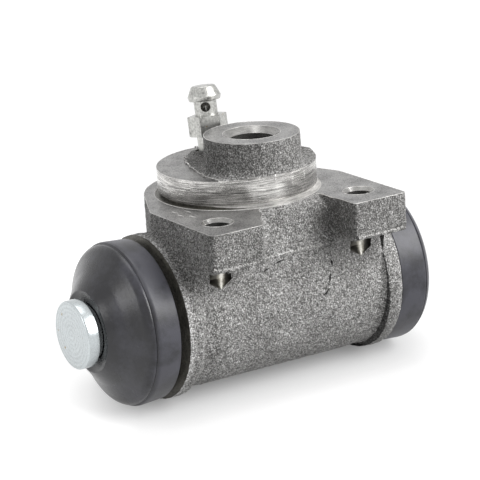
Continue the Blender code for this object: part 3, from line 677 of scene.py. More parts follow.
# %% Melt the forms into one skin
VOXEL = 0.37 * MM
casting = barrel
select_only(casting, neck, step_form, boss_form, lump, bleed_rim, field)
bpy.ops.object.join()
casting.name = casting.data.name = "housing_casting"
remesh = casting.modifiers.new("Melt", 'REMESH')
remesh.mode = 'VOXEL'
remesh.voxel_size = VOXEL
apply_modifier(casting, remesh)
smooth = casting.modifiers.new("Soften", 'SMOOTH')
smooth.factor = 0.5
smooth.iterations = 6
apply_modifier(casting, smooth)
print("cast skin:", len(casting.data.polygons), "faces")

# %% [markdown]
# A cast skin is never quite even. A displacement by a cloud texture moves it in and out by about a
# tenth of a millimetre, which is enough to break up the outline and the machined edges.

# %% Unevenness of the skin
sand = bpy.data.textures.new("sand_print", 'CLOUDS')
sand.noise_scale = 0.9 * MM
sand.noise_depth = 1


def roughen(piece, depth):
    """Move a piece's skin with the sand texture, by half this depth in millimetres each way."""
    uneven = piece.modifiers.new("Sand", 'DISPLACE')
    uneven.texture = sand
    uneven.texture_coords = 'LOCAL'
    uneven.strength = depth * MM
    apply_modifier(piece, uneven)


def give_material(piece, material):
    """Give a piece one material only."""
    piece.data.materials.clear()
    piece.data.materials.append(material)


roughen(casting, 0.26)
give_material(casting, CAST_IRON)
print("skin moved by up to 0.13 mm")

# %% [markdown]
# ## Machining the housing
#
# The shop cuts the casting where it has to fit something. Each cut is made with a solid tool, and
# the Boolean gives the new face the tool's own material, so a machined face ends exactly where the
# cut ends. The first tool is everything outside the round step and above the mounting face: one cut
# leaves the flat pad, the turned side of the step, and at its foot a narrow groove and a small
# fillet. The turning tool was set a little off centre for the next cut, so that one, the undercut,
# only bites on one side of the step.

# %% Mounting face and step
def turning_tool(name, origin, axis, profile, material, steps=128, ring=False):
    """Make a round cutting tool that leaves a material on the faces it cuts."""
    tool = lathe(name, origin, axis, profile, steps, ring)
    tool.data.materials.append(material)
    return tool


def height_of(face):
    """Height of a face's middle above the mounting face, in millimetres."""
    return face.center.z / MM


FOOT_TOP = 0.8
foot = [(STEP_R + outwards, height) for outwards, height in (
    (0.0, 0.95), (-0.12, 0.75), (-0.05, 0.5), (0.12, 0.26), (0.36, 0.11), (0.68, 0.05), (0.7, 0.0))]
face_tool = turning_tool("face_tool", (0, 0, 0), UP, [
    (STEP_R, STEP_TOP + 0.5), *foot, (45.0, 0.0), (45.0, STEP_TOP + 0.5)],
    TURNED_IRON, steps=160, ring=True)
face_tool.data.materials.append(PAD_IRON)
face_tool.data.materials.append(FOOT_IRON)
for face in face_tool.data.polygons:
    flat = abs(face.normal.z) > 0.99 and abs(height_of(face)) < 0.01
    face.material_index = 1 if flat else 2 if height_of(face) < FOOT_TOP else 0
combine(casting, face_tool)

OFF_CENTRE = Vector((0.85, -0.5, 0.0)) * MM
# The undercut's faces get the dark shoulder finish, which paints shade into it.
undercut = turning_tool("undercut", OFF_CENTRE, UP, [
    (16.2, 0.12), (16.3, 0.6), (17.4, 0.9), (17.4, 0.03)], SHOULDER_IRON, steps=160, ring=True)
combine(casting, undercut)
print("after facing:", len(casting.data.polygons), "faces")

# %% [markdown]
# The mould tore in two kinds of places. Inside the right collar runs a ragged groove, deeper below
# than above. It is cut with a thin ring whose centre lies a little high, roughened by the same sand
# texture. Round the blank field are five short cracks. Each is cut with a thin blade, which goes
# only a little way into the barrel because a ring round the barrel trims it first. The faces of
# both are painted dark, as the shade that falls into them.

# %% Groove inside the right collar
groove_centre = BORE + Vector((0.0, 0.0, 1.4 * MM))
groove_tool = turning_tool("groove_tool", groove_centre, ALONG, [
    (15.6, 21.7), (17.6, 20.9), (17.6, 22.4)], HOLLOW_SHADE_IRON, 200, ring=True)
roughen(groove_tool, 0.7)
combine(casting, groove_tool)
print("after the groove:", len(casting.data.polygons), "faces")

# %% Cracks round the blank field
CRACKS = [
    [(9.05, -12.5), (9.6, -13.3), (9.5, -14.3), (9.15, -13.4)],
    [(8.95, -15.1), (8.85, -16.4), (8.2, -17.9), (8.4, -16.3)],
    [(8.1, -18.2), (7.4, -19.3), (6.3, -19.65), (7.1, -18.95)],
    [(-7.1, -12.15), (-6.2, -11.6), (-5.2, -11.55), (-6.2, -11.95)],
    [(-4.2, -11.05), (-2.8, -10.5), (-1.3, -10.5), (-2.8, -10.9)]]
blades = [sweep("crack", [(x, -30.0, z) for x, z in outline], (0.0, 18.0, 0.0))
          for outline in CRACKS]
select_only(*blades)
bpy.ops.object.join()
crack_tool = blades[0]
crack_depth = lathe("crack_depth", BORE, ALONG, [
    (14.9, -12.0), (19.0, -12.0), (19.0, 12.0), (14.9, 12.0)], ring=True)
combine(crack_tool, crack_depth, 'INTERSECT')
give_material(crack_tool, HOLLOW_SHADE_IRON)
combine(casting, crack_tool)
print("after the cracks:", len(casting.data.polygons), "faces")

# %% [markdown]
# The step's top is milled flat left of the boss only. The cutter stopped short of the boss, so the
# cast skin stays round it, a little higher than the milled face. Cast iron crumbles at such an
# edge. The outline of the cut is walked in short steps, and each point is moved sideways by a small
# random distance, from a generator with a fixed seed, so that every run gives the same edge.

# %% Top of the step, left of the boss
CRUMB_LENGTH, CRUMB_DEPTH = 0.4, 0.36
mill_outline = [Vector(point) for point in rounded([
    (-20.0, -20.0), (-11.0, -16.0), (-11.2, -6.0, 5.0), (-8.6, 5.0, 5.0), (-5.2, 11.2, 5.0),
    (-1.0, 13.0, 4.0), (3.0, 22.0), (-20.0, 22.0)], closed=True)]
dice = random.Random(7)
ragged_edge = []
for here, ahead in zip(mill_outline, mill_outline[1:] + mill_outline[:1]):
    crumbs = max(1, round((ahead - here).length / CRUMB_LENGTH))
    sideways = (ahead - here).orthogonal().normalized()
    for crumb in range(crumbs):
        moved = sideways * dice.uniform(-CRUMB_DEPTH, CRUMB_DEPTH)
        ragged_edge.append(here.lerp(ahead, crumb / crumbs) + moved)
mill = sweep("mill", [(x, y, STEP_TOP) for x, y in ragged_edge], (0.0, 0.0, 3.0))
mill.data.materials.append(PAD_IRON)
combine(casting, mill)
print("ragged edge:", len(ragged_edge), "points")

# %% [markdown]
# One tool makes the boss's face, the chamfer at the port's mouth, the hole for the pipe's end
# and the fine passage to the bore. Its faces leave three finishes: milled iron on the flat face,
# clean iron near the mouth, and iron painted dark further down, as the shade inside the hole.

# %% Boss face and port
PORT_R = 4.5
DARK_BELOW = BOSS_TOP - 4.5
port_tool = turning_tool("port_tool", BOSS, UP, [
    (0.0, BOSS_TOP + 2), (12.0, BOSS_TOP + 2), (12.0, BOSS_TOP), (5.75, BOSS_TOP),
    (PORT_R, BOSS_TOP - 1.2), (PORT_R, DARK_BELOW), (PORT_R, BOSS_TOP - 12.0),
    (1.5, BOSS_TOP - 13.7), (1.5, BORE_Z), (0.0, BORE_Z)], HOLE_IRON)
port_tool.data.materials.append(PAD_IRON)
port_tool.data.materials.append(HOLE_SHADE_IRON)
for face in port_tool.data.polygons:
    flat = abs(face.normal.z) > 0.99 and abs(height_of(face) - BOSS_TOP) < 0.1
    face.material_index = 2 if height_of(face) < DARK_BELOW else 1 if flat else 0
combine(casting, port_tool)
print("after the port:", len(casting.data.polygons), "faces")

# %% [markdown]
# Each end of the barrel is turned to a stepped neck, with a groove that the dust boot's bead snaps
# into. A plain blank is added first, so that the tool has sound iron to cut. The bore goes through
# last.

# %% Ends of the barrel
for side in (-1, 1):
    end_tool = turning_tool("end_tool", BORE, ALONG * side, [
        (18.0, 24.9), (16.15, 24.9), (14.0, 26.2), (14.0, 27.5), (13.0, 27.5), (13.0, 29.1),
        (14.0, 29.1), (14.0, 29.9), (13.4, 30.5), (13.4, 34.0), (18.0, 34.0)],
        SHOULDER_IRON, ring=True)
    end_blank = lathe("end_blank", BORE, ALONG * side, [
        (0.0, 24.0), (14.2, 24.0), (14.2, 30.5), (0.0, 30.5)])
    combine(casting, end_blank, 'UNION')
    combine(casting, end_tool)
    print("end", side, "turned:", len(casting.data.polygons), "faces")

# %% Bore
bore_profile = [(0.0, 33.0), (12.8, 33.0), (10.32, 29.8)]
bore_tool = turning_tool("bore_tool", BORE, ALONG, bore_profile + [
    (radius, -along) for radius, along in reversed(bore_profile)], HOLE_IRON)
combine(casting, bore_tool)
print("after boring:", len(casting.data.polygons), "faces")

# %% [markdown]
# On the real object the pipe's port has an M10x1 thread and the two holes for the mounting screws
# have M6. Here these holes are left plain, at the width of the drill that goes before the tap. The
# mounting holes are drilled a little past the lugs, so their points break out through the corner
# under each lug, as two small bright windows.

# %% Mounting holes
# Deeper down a hole is painted dark, as shade, and its point gets a painted highlight down its
# middle.
HOLE_SHADE_BELOW, WINDOW_BELOW = -2.6, -6.6
for side in (-1, 1):
    place = Vector((side * HOLE_X, HOLE_Y, 0)) * MM
    drill = turning_tool("drill", place, UP, [
        (0.0, 1.0), (4.1, 1.0), (3.15, 0.0), (2.5, -0.7), (2.5, HOLE_SHADE_BELOW),
        (2.5, -6.5), (2.5, -11.9), (0.0, -13.5)], HOLE_IRON, 64)
    drill.data.materials.append(HOLE_SHADE_IRON)
    drill.data.materials.append(POINT_HIGHLIGHT_IRON[side])
    for face in drill.data.polygons:
        face.material_index = (height_of(face) < HOLE_SHADE_BELOW) + (height_of(face) < WINDOW_BELOW)
    combine(casting, drill)
print("after drilling:", len(casting.data.polygons), "faces")

# %% Bleed screw's hole
bleed_tool = turning_tool("bleed_tool", BLEED, BLEED_UP, [
    (0.0, 3.0), (3.25, 3.0), (3.25, 0.1), (3.0, -0.2), (3.0, -10.0),
    (1.1, -11.9), (1.1, -19.0), (0.0, -19.0)], HOLE_IRON, 64)
combine(casting, bleed_tool)
print("after the bleed hole:", len(casting.data.polygons), "faces")

# %% [markdown]
# A milling cutter raises a thin bright burr where it leaves the iron. The edges between the milled
# faces and everything else are picked by their material, copied, and thickened into a hair-thin
# wire, which then becomes part of the casting.

# %% Burrs
select_only(casting)
casting.active_material_index = casting.data.materials.find(PAD_IRON.name)
bpy.ops.object.mode_set(mode='EDIT')
bpy.ops.mesh.select_all(action='DESELECT')
bpy.ops.object.material_slot_select()
bpy.ops.mesh.region_to_loop()
bpy.ops.mesh.duplicate()
bpy.ops.mesh.separate(type='SELECTED')
bpy.ops.object.mode_set(mode='OBJECT')
burr = [piece for piece in bpy.context.selected_objects if piece != casting][0]


def thicken(piece, radius, resolution, material):
    """Turn a piece's lines into round wire of this radius in millimetres."""
    select_only(piece)
    bpy.ops.object.convert(target='CURVE')
    piece.data.bevel_depth = radius * MM
    piece.data.bevel_resolution = resolution
    bpy.ops.object.convert(target='MESH')
    give_material(piece, material)


thicken(burr, 0.055, 0, BURR_IRON)
print("burr", len(burr.data.polygons), "faces")
select_only(casting, burr)
bpy.ops.object.join()

# %% [markdown]
# Beads of iron stand out of the skin in three places: along the top of the blank field, where the
# plate in the pattern didn't sit flush, and along the lower front edge of each lug, where the
# halves of the mould met. They are wires too, made bumpy by the sand texture. Four short scratches
# on the pad are fine bright wires sunk into it by half.

# %% Bumpy ridges and scratches
BEAD_STEP = 0.35
FIELD_RIDGE = [(-14.7, -10.5), (-10.8, -9.9), (-6.8, -9.3), (-3.8, -9.3), (-0.3, -9.3), (3.2, -9.2),
               (7.5, -9.4)]
SCRATCHES = [(-18.9, -6.1), (-19.2, -8.7), (-16.7, -7.3), (-17.9, -11.0)]


def bead(name, corners, radius, material, bumpy):
    """Lay a bead along corners, in millimetres, and make it bumpy by a share of its radius."""
    points = []
    for here, ahead in zip(corners, corners[1:]):
        here, ahead = Vector(here) * MM, Vector(ahead) * MM
        pieces = max(1, round((ahead - here).length / (BEAD_STEP * MM)))
        points += [here.lerp(ahead, step / pieces) for step in range(pieces)]
    piece = draw_line(name, points + [Vector(corners[-1]) * MM])
    thicken(piece, radius, 2, material)
    roughen(piece, radius * bumpy)
    return piece


# The beads get the ridge finish, which is painted brighter, as a highlight.
beads = [
    bead("field_ridge", [(x, -18.65, z) for x, z in FIELD_RIDGE], 0.3, RIDGE_HIGHLIGHT_IRON, 2.0),
    bead("left_lug_edge", [(-22.3, -26.2, -6.5), (-21.0, -26.55, -7.0), (-12.4, -26.55, -7.0)], 0.4,
         RIDGE_HIGHLIGHT_IRON, 1.6),
    bead("right_lug_edge", [(10.4, -26.55, -7.0), (21.6, -26.55, -7.0)], 0.4, RIDGE_HIGHLIGHT_IRON, 1.6)]
beads += [bead("scratch", [(x, y, 0.0), (x + 0.4, y - 1.8, 0.0)], 0.07, BURR_IRON, 0.8)
          for x, y in SCRATCHES]
print("beads and scratches:", len(beads))

# %% The finished housing
select_only(casting, *beads)
bpy.ops.object.join()
finish_shading(casting, 38)
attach(casting, "housing")
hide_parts("body_casting")

# %% [markdown]
# ## Zinc-plated steel
#
# The pistons and the bleed screw are turned from steel and plated with zinc. Zinc is bright and
# slightly blue, and shows the turning marks beneath it. Each piston's face has a target of fine
# rings. Old zinc is blotchy, the screw more so than the pistons, and has a few rusty specks, which
# come from a noise of which only the highest peaks are used.

# %% Zinc plate
RUST = (0.30, 0.21, 0.09)


def make_zinc(name, centre, axis, spacing, depth, blotch, roughness, shade, swing=(0.55, 1.18)):
    """Plating over turned steel. Its rings are this far apart and this deep, in millimetres.

    The swing gives the darkest and the brightest blotch, as shares of the shade.
    """
    material, tree, shader, place = new_material(name, 1.0, roughness)
    marks = add_group(tree, TOOL_MARKS, Along=tool_distance(tree, place, centre, axis, True),
                      Spacing=spacing * MM, Wander=0.8)
    grain = add_group(tree, GRAIN, Place=place, Grain_Size=0.45 * MM, Mottle_Size=2.2 * MM)
    tone = plus(tree, times(tree, marks["Ring"], 0.10), centred(tree, marks["Streak"], 0.5, 0.10),
                centred(tree, grain["Speckle"], 0.5, blotch), 0.5)
    dark, light = (tuple(share * part for part in shade) for share in swing)
    plate = ramp_node(tree, tone, [(0.15, dark), (0.5, shade), (0.8, light)])
    rusty = ramp_node(tree, noise_node(tree, place, 900.0, 2.0, 0.6),
                      [(0.70, (0.0, 0.0, 0.0)), (0.76, (1.0, 1.0, 1.0))])
    mix = tree.nodes.new('ShaderNodeMix')
    mix.data_type = 'RGBA'
    tree.links.new(rusty, mix.inputs['Factor'])
    tree.links.new(plate, mix.inputs[6])
    mix.inputs[7].default_value = (*RUST, 1.0)
    tree.links.new(mix.outputs[2], shader.inputs['Base Color'])
    rough = plus(tree, times(tree, grain["Mottle"], 0.16), roughness - 0.06)
    tree.links.new(rough, shader.inputs['Roughness'])
    ridges = plus(tree, marks["Ring"], times(tree, grain["Height"], blotch))
    add_bump(tree, shader, ridges, depth * MM)
    return material


FACE_ZINC = make_zinc(
    "zinc_turned_face", BORE, ALONG, 0.85, 0.006, 0.25, 0.24, (0.51, 0.545, 0.555))
SCREW_ZINC = make_zinc(
    "zinc_screw", BLEED, BLEED_UP, 0.9, 0.012, 0.6, 0.27, (0.46, 0.46, 0.44), (0.37, 1.36))
SPRING_STEEL = make_zinc(
    "spring_steel", BORE, ALONG, 0.4, 0.004, 0.4, 0.34, (0.50, 0.51, 0.52))
print("plated finishes:", FACE_ZINC.name, SCREW_ZINC.name, SPRING_STEEL.name)

# %% [markdown]
# ## The pistons
#
# Each piston is a plain plug that fits the bore, with a narrower nose. The nose ends in a flat head
# that pushes the shoe, and behind the head is the groove that the boot's lip sits in. A piston is
# turned, so its profile is drawn once and spun. The left one stands further out than the right one,
# as they do when the part has been handled.

# %% Pistons
NOSE_R = 6.84
PISTON_R = 10.24
GROOVE_R = 5.6


def make_piston(side, face, node):
    """Turn a piston whose nose has its face at this distance from the middle, in millimetres."""
    profile = rounded([
        (0.0, face - 0.05), (0.6, face - 0.05), (0.8, face), (NOSE_R - 0.05, face, 0.38),
        (NOSE_R, face - 2.5, 0.1), (GROOVE_R, face - 2.5), (GROOVE_R, face - 4.9),
        (NOSE_R, face - 4.9, 0.1), (NOSE_R, face - 9.8, 0.3), (PISTON_R, face - 9.8, 0.5),
        (PISTON_R, face - 26.0, 0.5),
        (0.0, face - 26.0)], steps=4)
    piston = lathe(node + "_turned", BORE, ALONG * side, profile, 128)
    piston.data.materials.append(FACE_ZINC)
    finish_shading(piston, 30)
    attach(piston, node + "_group")
    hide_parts(node)


make_piston(-1, -LEFT_FACE, "left_piston")
make_piston(1, RIGHT_FACE, "right_piston")

# %% [markdown]
# ## Rubber and spring
#
# A dust boot is moulded rubber: a thick band that grips the end of the barrel, a domed wall that
# rolls as the piston moves, and a lip in the piston's groove. The rubber is satin black, with a
# paler bloom where dust and mould powder have stayed on it. The dome is glossier than the band, as
# if handling had wiped it, and its colour is painted a little darker, as shade. A mask that rises
# where the dome starts, measured along the bore, tells the two apart.

# %% Rubber
DOME_STARTS, DOME_BLEND = 31.5 * MM, 0.8 * MM


def make_rubber(name, base, roughness, bloom):
    """Black rubber with a patchy grey bloom and a fine skin texture."""
    material, tree, shader, place = new_material(name, 0.0, roughness)
    grain = add_group(tree, GRAIN, Place=place, Grain_Size=0.22 * MM, Mottle_Size=6.0 * MM)
    dust = noise_node(tree, place, 150.0, 7.0, 0.72)
    from_middle = math_node(tree, 'ABSOLUTE', tool_distance(tree, place, (0, 0, 0), ALONG, False))
    domed = risen(tree, from_middle, DOME_STARTS, DOME_BLEND)
    # The dome's colour is painted a little darker here, as shade.
    tone = plus(tree, times(tree, grain["Mottle"], 0.5), times(tree, dust, 0.5),
                times(tree, domed, -0.05))
    light = tuple(part * bloom for part in base)
    colour = ramp_node(tree, tone, [(0.42, base), (0.56, light)])
    tree.links.new(colour, shader.inputs['Base Color'])
    rough = plus(tree, times(tree, tone, 0.25), roughness, times(tree, domed, -0.14))
    tree.links.new(rough, shader.inputs['Roughness'])
    add_bump(tree, shader, grain["Height"], 0.02 * MM)
    return material


BOOT_RUBBER = make_rubber("boot_rubber", (0.0215, 0.0215, 0.0265), 0.27, 3.1)
SEAL_RUBBER = make_rubber("seal_rubber", (0.014, 0.014, 0.016), 0.32, 1.3)
print("rubbers:", BOOT_RUBBER.name, SEAL_RUBBER.name)

# %% [markdown]
# The boot's profile is drawn once, outside and inside together, and turned into a ring. Its wall is
# a cone from the band to the lip, and the outside bulges over that cone like a bell, by the small
# distances in BULGE. A fine crease runs round the boot where the band ends.

# %% Dust boots
BAND_INNER, WALL = 14.3, 1.6
SEAT_END = 26.66
BULGE = [  # (radius, distance over the wall, radius of the bend)
    (9.35, 0.10, 2.0), (11.5, -0.08, 6.0), (14.2, 0.22, 3.0), (15.6, 0.46, 2.8), (16.4, -0.95, 1.6)]


def add_crease(outline, place):
    """Cut a small V into the outside of a band, at this distance from the middle."""
    last = max(i for i, (radius, along) in enumerate(outline) if along > place and radius > 15.0)
    top = outline[last][0]
    notch = [(top, place + 0.12), (top - 0.13, place), (top, place - 0.12)]
    clear = [[point for point in part if abs(point[1] - place) > 0.14 or point[0] < 15.0]
             for part in (outline[:last + 1], outline[last + 1:])]
    return clear[0] + notch + clear[1]


def make_boot(side, face, shoulder_in, skirt, node):
    """Turn a boot for a piston whose nose has its face at this distance from the middle.

    The bend of the boot's inside and the end of its skirt are given as such distances too.
    """
    lip_end = face - 3.4
    lip_back = face - 4.6
    inner_flare = lip_end - 1.5
    mouth = NOSE_R + 0.3
    slope = (BAND_INNER - mouth) / (inner_flare - shoulder_in)
    shift = WALL / math.sin(math.atan(slope)) + 0.12
    bell = [(radius, shoulder_in + shift - (radius - BAND_INNER) / slope + over, bend)
            for radius, over, bend in BULGE]
    outside = add_crease(rounded([
        (7.7, lip_end - 0.1), (8.15, lip_end, 0.15), *bell, (16.05, skirt, 0.25),
        (15.8, min(skirt + 0.1, SEAT_END)), (BAND_INNER, SEAT_END)], steps=10), shoulder_in + 0.25)
    inside = rounded([
        (BAND_INNER, SEAT_END), (BAND_INNER, 27.85), (BAND_INNER - 1.0, 27.85),
        (BAND_INNER - 1.0, 28.75), (BAND_INNER, 28.75), (BAND_INNER, shoulder_in, 0.8),
        (mouth, inner_flare), (mouth, lip_back), (5.9, lip_back), (5.9, lip_end - 0.5),
        (mouth, lip_end - 0.5)])
    boot = lathe(node + "_moulded", BORE, ALONG * side, outside + inside[1:], 144, ring=True)
    boot.data.materials.append(BOOT_RUBBER)
    finish_shading(boot, 40)
    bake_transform(boot)
    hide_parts(node)


make_boot(-1, -LEFT_FACE, 31.77, SEAT_END, "left_dust_boot")
make_boot(1, RIGHT_FACE, 30.8, 25.1, "right_dust_boot")

# %% [markdown]
# ## Inside the bore
#
# Behind each piston lies a rubber cup whose lip points towards the fluid, so pressure spreads it
# against the wall. A pressed steel expander sits in the cup, and one spring between the two
# expanders keeps everything touching. None of it shows, but the real object has it, so it is here
# too.

# %% Cup seals and expanders
def make_inner_pieces(side, face, word):
    """Turn the cup seal and the expander behind one piston, and return the spring's seat."""
    back = face - 26.3
    cup = lathe(word + "_cup_moulded", BORE, ALONG * side, rounded([
        (0.0, back), (9.15, back, 0.4), (10.08, back - 1.1, 0.4), (10.2, back - 6.2, 0.2),
        (8.9, back - 6.2, 0.2), (8.1, back - 3.5, 0.6), (7.45, back - 2.2), (0.0, back - 2.2)]))
    seat = back - 3.3
    expander = lathe(word + "_expander_pressed", BORE, ALONG * side, rounded([
        (0.0, seat - 1.4), (3.4, seat - 1.4, 0.3), (3.4, seat + 0.8), (7.15, seat + 0.8, 0.2),
        (7.15, seat, 0.2), (4.2, seat, 0.4), (3.8, seat - 2.2, 0.5), (0.0, seat - 2.2)]))
    for piece, material, node, name in ((cup, SEAL_RUBBER, "_cup_seal", "seal_rubber"),
                                        (expander, SPRING_STEEL, "_cup_expander", "spring_steel")):
        piece.data.materials.append(material)
        finish_shading(piece)
        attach(piece, word + "_piston_group")
        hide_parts(word + node)
    return seat


left_seat = make_inner_pieces(-1, -LEFT_FACE, "left")
right_seat = make_inner_pieces(1, RIGHT_FACE, "right")

# %% [markdown]
# The spring is wound from round wire, with one close turn at each end. It squeezes with both
# pistons, so it is made in two halves that meet in the middle.

# %% Return spring
WIRE_R = 0.55
COIL_R = 5.1
TURNS = 7
CLOSE_PITCH = 1.4
SEAT_GAP = 0.3
STEPS_PER_TURN = 32
left_end = -left_seat + SEAT_GAP + WIRE_R
spring_length = right_seat - SEAT_GAP - WIRE_R - left_end
OPEN_PITCH = (spring_length - 2 * CLOSE_PITCH) / (TURNS - 2)
print("spring", round(spring_length, 1), "mm long, open pitch", round(OPEN_PITCH, 2), "mm")


def spring_place(turns):
    """Distance of the wire's centre from the left end, after some turns."""
    if turns < 1:
        return turns * CLOSE_PITCH
    if turns > TURNS - 1:
        return spring_length - (TURNS - turns) * CLOSE_PITCH
    return CLOSE_PITCH + (turns - 1) * OPEN_PITCH


def make_spring_half(name, first, last):
    """Sweep a small circle along the part of the helix between two numbers of turns."""
    count = round((last - first) * STEPS_PER_TURN)
    points = []
    for step in range(count + 1):
        turns = first + (last - first) * step / count
        angle = 2 * math.pi * turns
        points.append(Vector((left_end + spring_place(turns), BORE_Y + COIL_R * math.cos(angle),
                              BORE_Z + COIL_R * math.sin(angle))) * MM)
    spring = draw_line(name, points)
    skin = spring.modifiers.new("Wire", 'SKIN')
    spring.data.skin_vertices[0].data[0].use_root = True
    for corner in spring.data.skin_vertices[0].data:
        corner.radius = (WIRE_R * MM, WIRE_R * MM)
    apply_modifier(spring, skin)
    spring.data.materials.append(SPRING_STEEL)
    finish_shading(spring, 60)
    return spring


middle_turn = 1 + (-left_end - CLOSE_PITCH) / OPEN_PITCH
left_spring = make_spring_half("return_spring_left", 0, middle_turn)
right_spring = make_spring_half("return_spring_right", middle_turn, TURNS)
for half, piston, end in ((left_spring, "left_piston_group", left_end * MM),
                          (right_spring, "right_piston_group", (left_end + spring_length) * MM)):
    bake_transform(half)
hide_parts("return_spring")

# %% [markdown]
# ## The bleed screw
#
# The bleed screw is turned from hexagon bar. Its shank, which is left without its M6 thread here,
# ends in a cone that closes on a seat deep in the casting. Above the hexagon are a neck and a
# nipple that a hose slips over, and a small cross hole in the neck lets the air out. The hexagon's
# corners are turned off at both ends, which is done here by keeping only what a double cone shares
# with the bar.

# %% Bleed screw
HEX_LOW, HEX_HIGH = 3.9, 8.0
HEX_ACROSS = 7.0
NECK_TOP = HEX_HIGH + 3.0
NIPPLE_TOP = NECK_TOP + 3.0
screw = lathe("bleed_screw_turned", BLEED, BLEED_UP, rounded([
    (0.0, NIPPLE_TOP), (2.4, NIPPLE_TOP, 0.5), (3.4, NECK_TOP + 0.9, 0.35), (3.2, NECK_TOP, 0.25),
    (2.33, NECK_TOP, 0.15), (2.33, 6.0), (2.6, 6.0), (2.6, 0.5), (2.45, 0.4), (2.45, -10.2),
    (1.6, -11.0), (0.0, -11.0)], steps=5), 64)
select_only()
bpy.ops.mesh.primitive_cylinder_add(
    vertices=6, radius=HEX_ACROSS / 2 / math.cos(math.pi / 6) * MM, depth=(HEX_HIGH - HEX_LOW) * MM)
hexagon = bpy.context.object
hexagon.name = "hexagon"
hexagon.rotation_euler = (0.0, 0.0, math.radians(7.5))
bpy.ops.object.transform_apply(location=True, rotation=True, scale=True)
hexagon.location = BLEED + BLEED_UP * (HEX_LOW + HEX_HIGH) / 2 * MM
hexagon.rotation_euler = (-BLEED_LEAN, 0.0, 0.0)
bpy.ops.object.transform_apply(location=True, rotation=True, scale=True)
corners = lathe("corners", BLEED, BLEED_UP, [
    (0.0, HEX_HIGH + 0.1), (3.75, HEX_HIGH + 0.1), (4.25, HEX_HIGH - 0.22), (4.25, HEX_LOW + 0.25),
    (3.6, HEX_LOW - 0.1), (0.0, HEX_LOW - 0.1)], 64)
combine(hexagon, corners, 'INTERSECT')
combine(screw, hexagon, 'UNION')
print("bleed screw before drilling:", len(screw.data.polygons), "faces")

# %% [markdown]
# A fine passage runs up the screw from two openings above its cone, and leaves through one cross
# hole in the neck. The cross hole is painted dark inside, as shade, so only its tool brings its own
# finish.

# %% Drillings in the bleed screw
CROSS_HOLE, DRILLED_R, OUTLET_R = NECK_TOP - 1.2, 0.6, 1.0
INLET = -9.4
passage = lathe("passage", BLEED, BLEED_UP, [
    (0.0, CROSS_HOLE), (DRILLED_R, CROSS_HOLE), (DRILLED_R, INLET), (0.0, INLET)], 24)
combine(screw, passage)
inlet = lathe("inlet", BLEED + BLEED_UP * INLET * MM, ALONG, [
    (0.0, 5.0), (DRILLED_R, 5.0), (DRILLED_R, -5.0), (0.0, -5.0)], 24)
combine(screw, inlet)
give_material(screw, SCREW_ZINC)
turn = math.radians(-31.0)
out_way = Matrix.Rotation(-BLEED_LEAN, 3, 'X') @ Vector((math.sin(turn), -math.cos(turn), 0.0))
outlet = lathe("outlet", BLEED + BLEED_UP * CROSS_HOLE * MM, out_way, [
    (0.0, 5.0), (OUTLET_R, 5.0), (OUTLET_R, 0.0), (0.0, 0.0)], 24)
outlet.data.materials.append(SHOULDER_IRON)
combine(screw, outlet)
finish_shading(screw, 30)
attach(screw, "bleed_screw_group")
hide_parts("bleed_screw")

# %% [markdown]
# ## Camera, floor and light
#
# The camera stands where the photograph was taken, worked out from the places of known points in
# it. Its lens is given as a focal length in pixels of the 480-pixel picture, and it looks a few
# pixels off the object's centre, as the photograph does.

# %% Camera
PICTURE_SIZE, SENSOR = 480.0, 36.0
FOCAL = 2410.256
DISTANCE = 0.483262
OFF_RIGHT, OFF_DOWN = 2.292, 51.94
TOWARDS_CAMERA = Vector((-0.501, -0.8265, 0.2564)).normalized()
PICTURE_UP = Vector((0.1858, 0.1867, 0.9647)).normalized()
PICTURE_RIGHT = PICTURE_UP.cross(TOWARDS_CAMERA).normalized()
aim = -TOWARDS_CAMERA + PICTURE_RIGHT * (OFF_RIGHT / FOCAL) - PICTURE_UP * (OFF_DOWN / FOCAL)
camera_data = bpy.data.cameras.new("camera")
camera_data.sensor_width = SENSOR
camera_data.lens = FOCAL * SENSOR / PICTURE_SIZE
camera_data.clip_start = 0.01
camera = bpy.data.objects.new("camera", camera_data)
bpy.context.scene.collection.objects.link(camera)
backwards = -aim.normalized()
right = PICTURE_UP.cross(backwards).normalized()
rotation = Matrix((right, backwards.cross(right), backwards)).transposed().to_4x4()
camera.matrix_world = Matrix.Translation(TOWARDS_CAMERA * DISTANCE) @ rotation
bpy.context.scene.camera = camera
print("lens", round(camera_data.lens, 1), "mm")

# %% [markdown]
# The part lies on its barrel and boots, so the floor follows the bore and touches its underside. In
# the photograph the floor is pure white, and the shadow on it is soft and close to the barrel. A
# white floor lit this softly would only be pale grey, so it also glows a little, but only for rays
# that the camera or a reflection sends out, which puts no extra light on the object. The glow fades
# near the line where the barrel touches the floor, so that the contact shadow keeps its depth, and
# it is stronger on the left, where the photograph's shadow is faint.

# %% Floor
FLOOR_UP = Vector((0.0, -0.1116, 0.9937)).normalized()
FLOOR_FORWARD = Vector((0.0, -0.9937, -0.1116)).normalized()
CONTACT = BORE - FLOOR_UP * COLLAR_R * MM
CONTACT_HALF, GLOW_REACH = 22.0 * MM, 19.0 * MM
CARD_GREY, CARD_GLOW, LEFT_EXTRA = 0.46, 0.62, 0.42
LEFT_WAY, LEFT_START, LEFT_REACH = (-0.857, 0.515, 0.0), 22.0 * MM, 10.0 * MM
select_only()
bpy.ops.mesh.primitive_plane_add(size=8.0)
floor = bpy.context.object
floor.name = "floor"
floor.rotation_euler = FLOOR_UP.to_track_quat('Z', 'Y').to_euler()
floor.location = CONTACT
bpy.ops.object.transform_apply(location=True, rotation=True, scale=True)

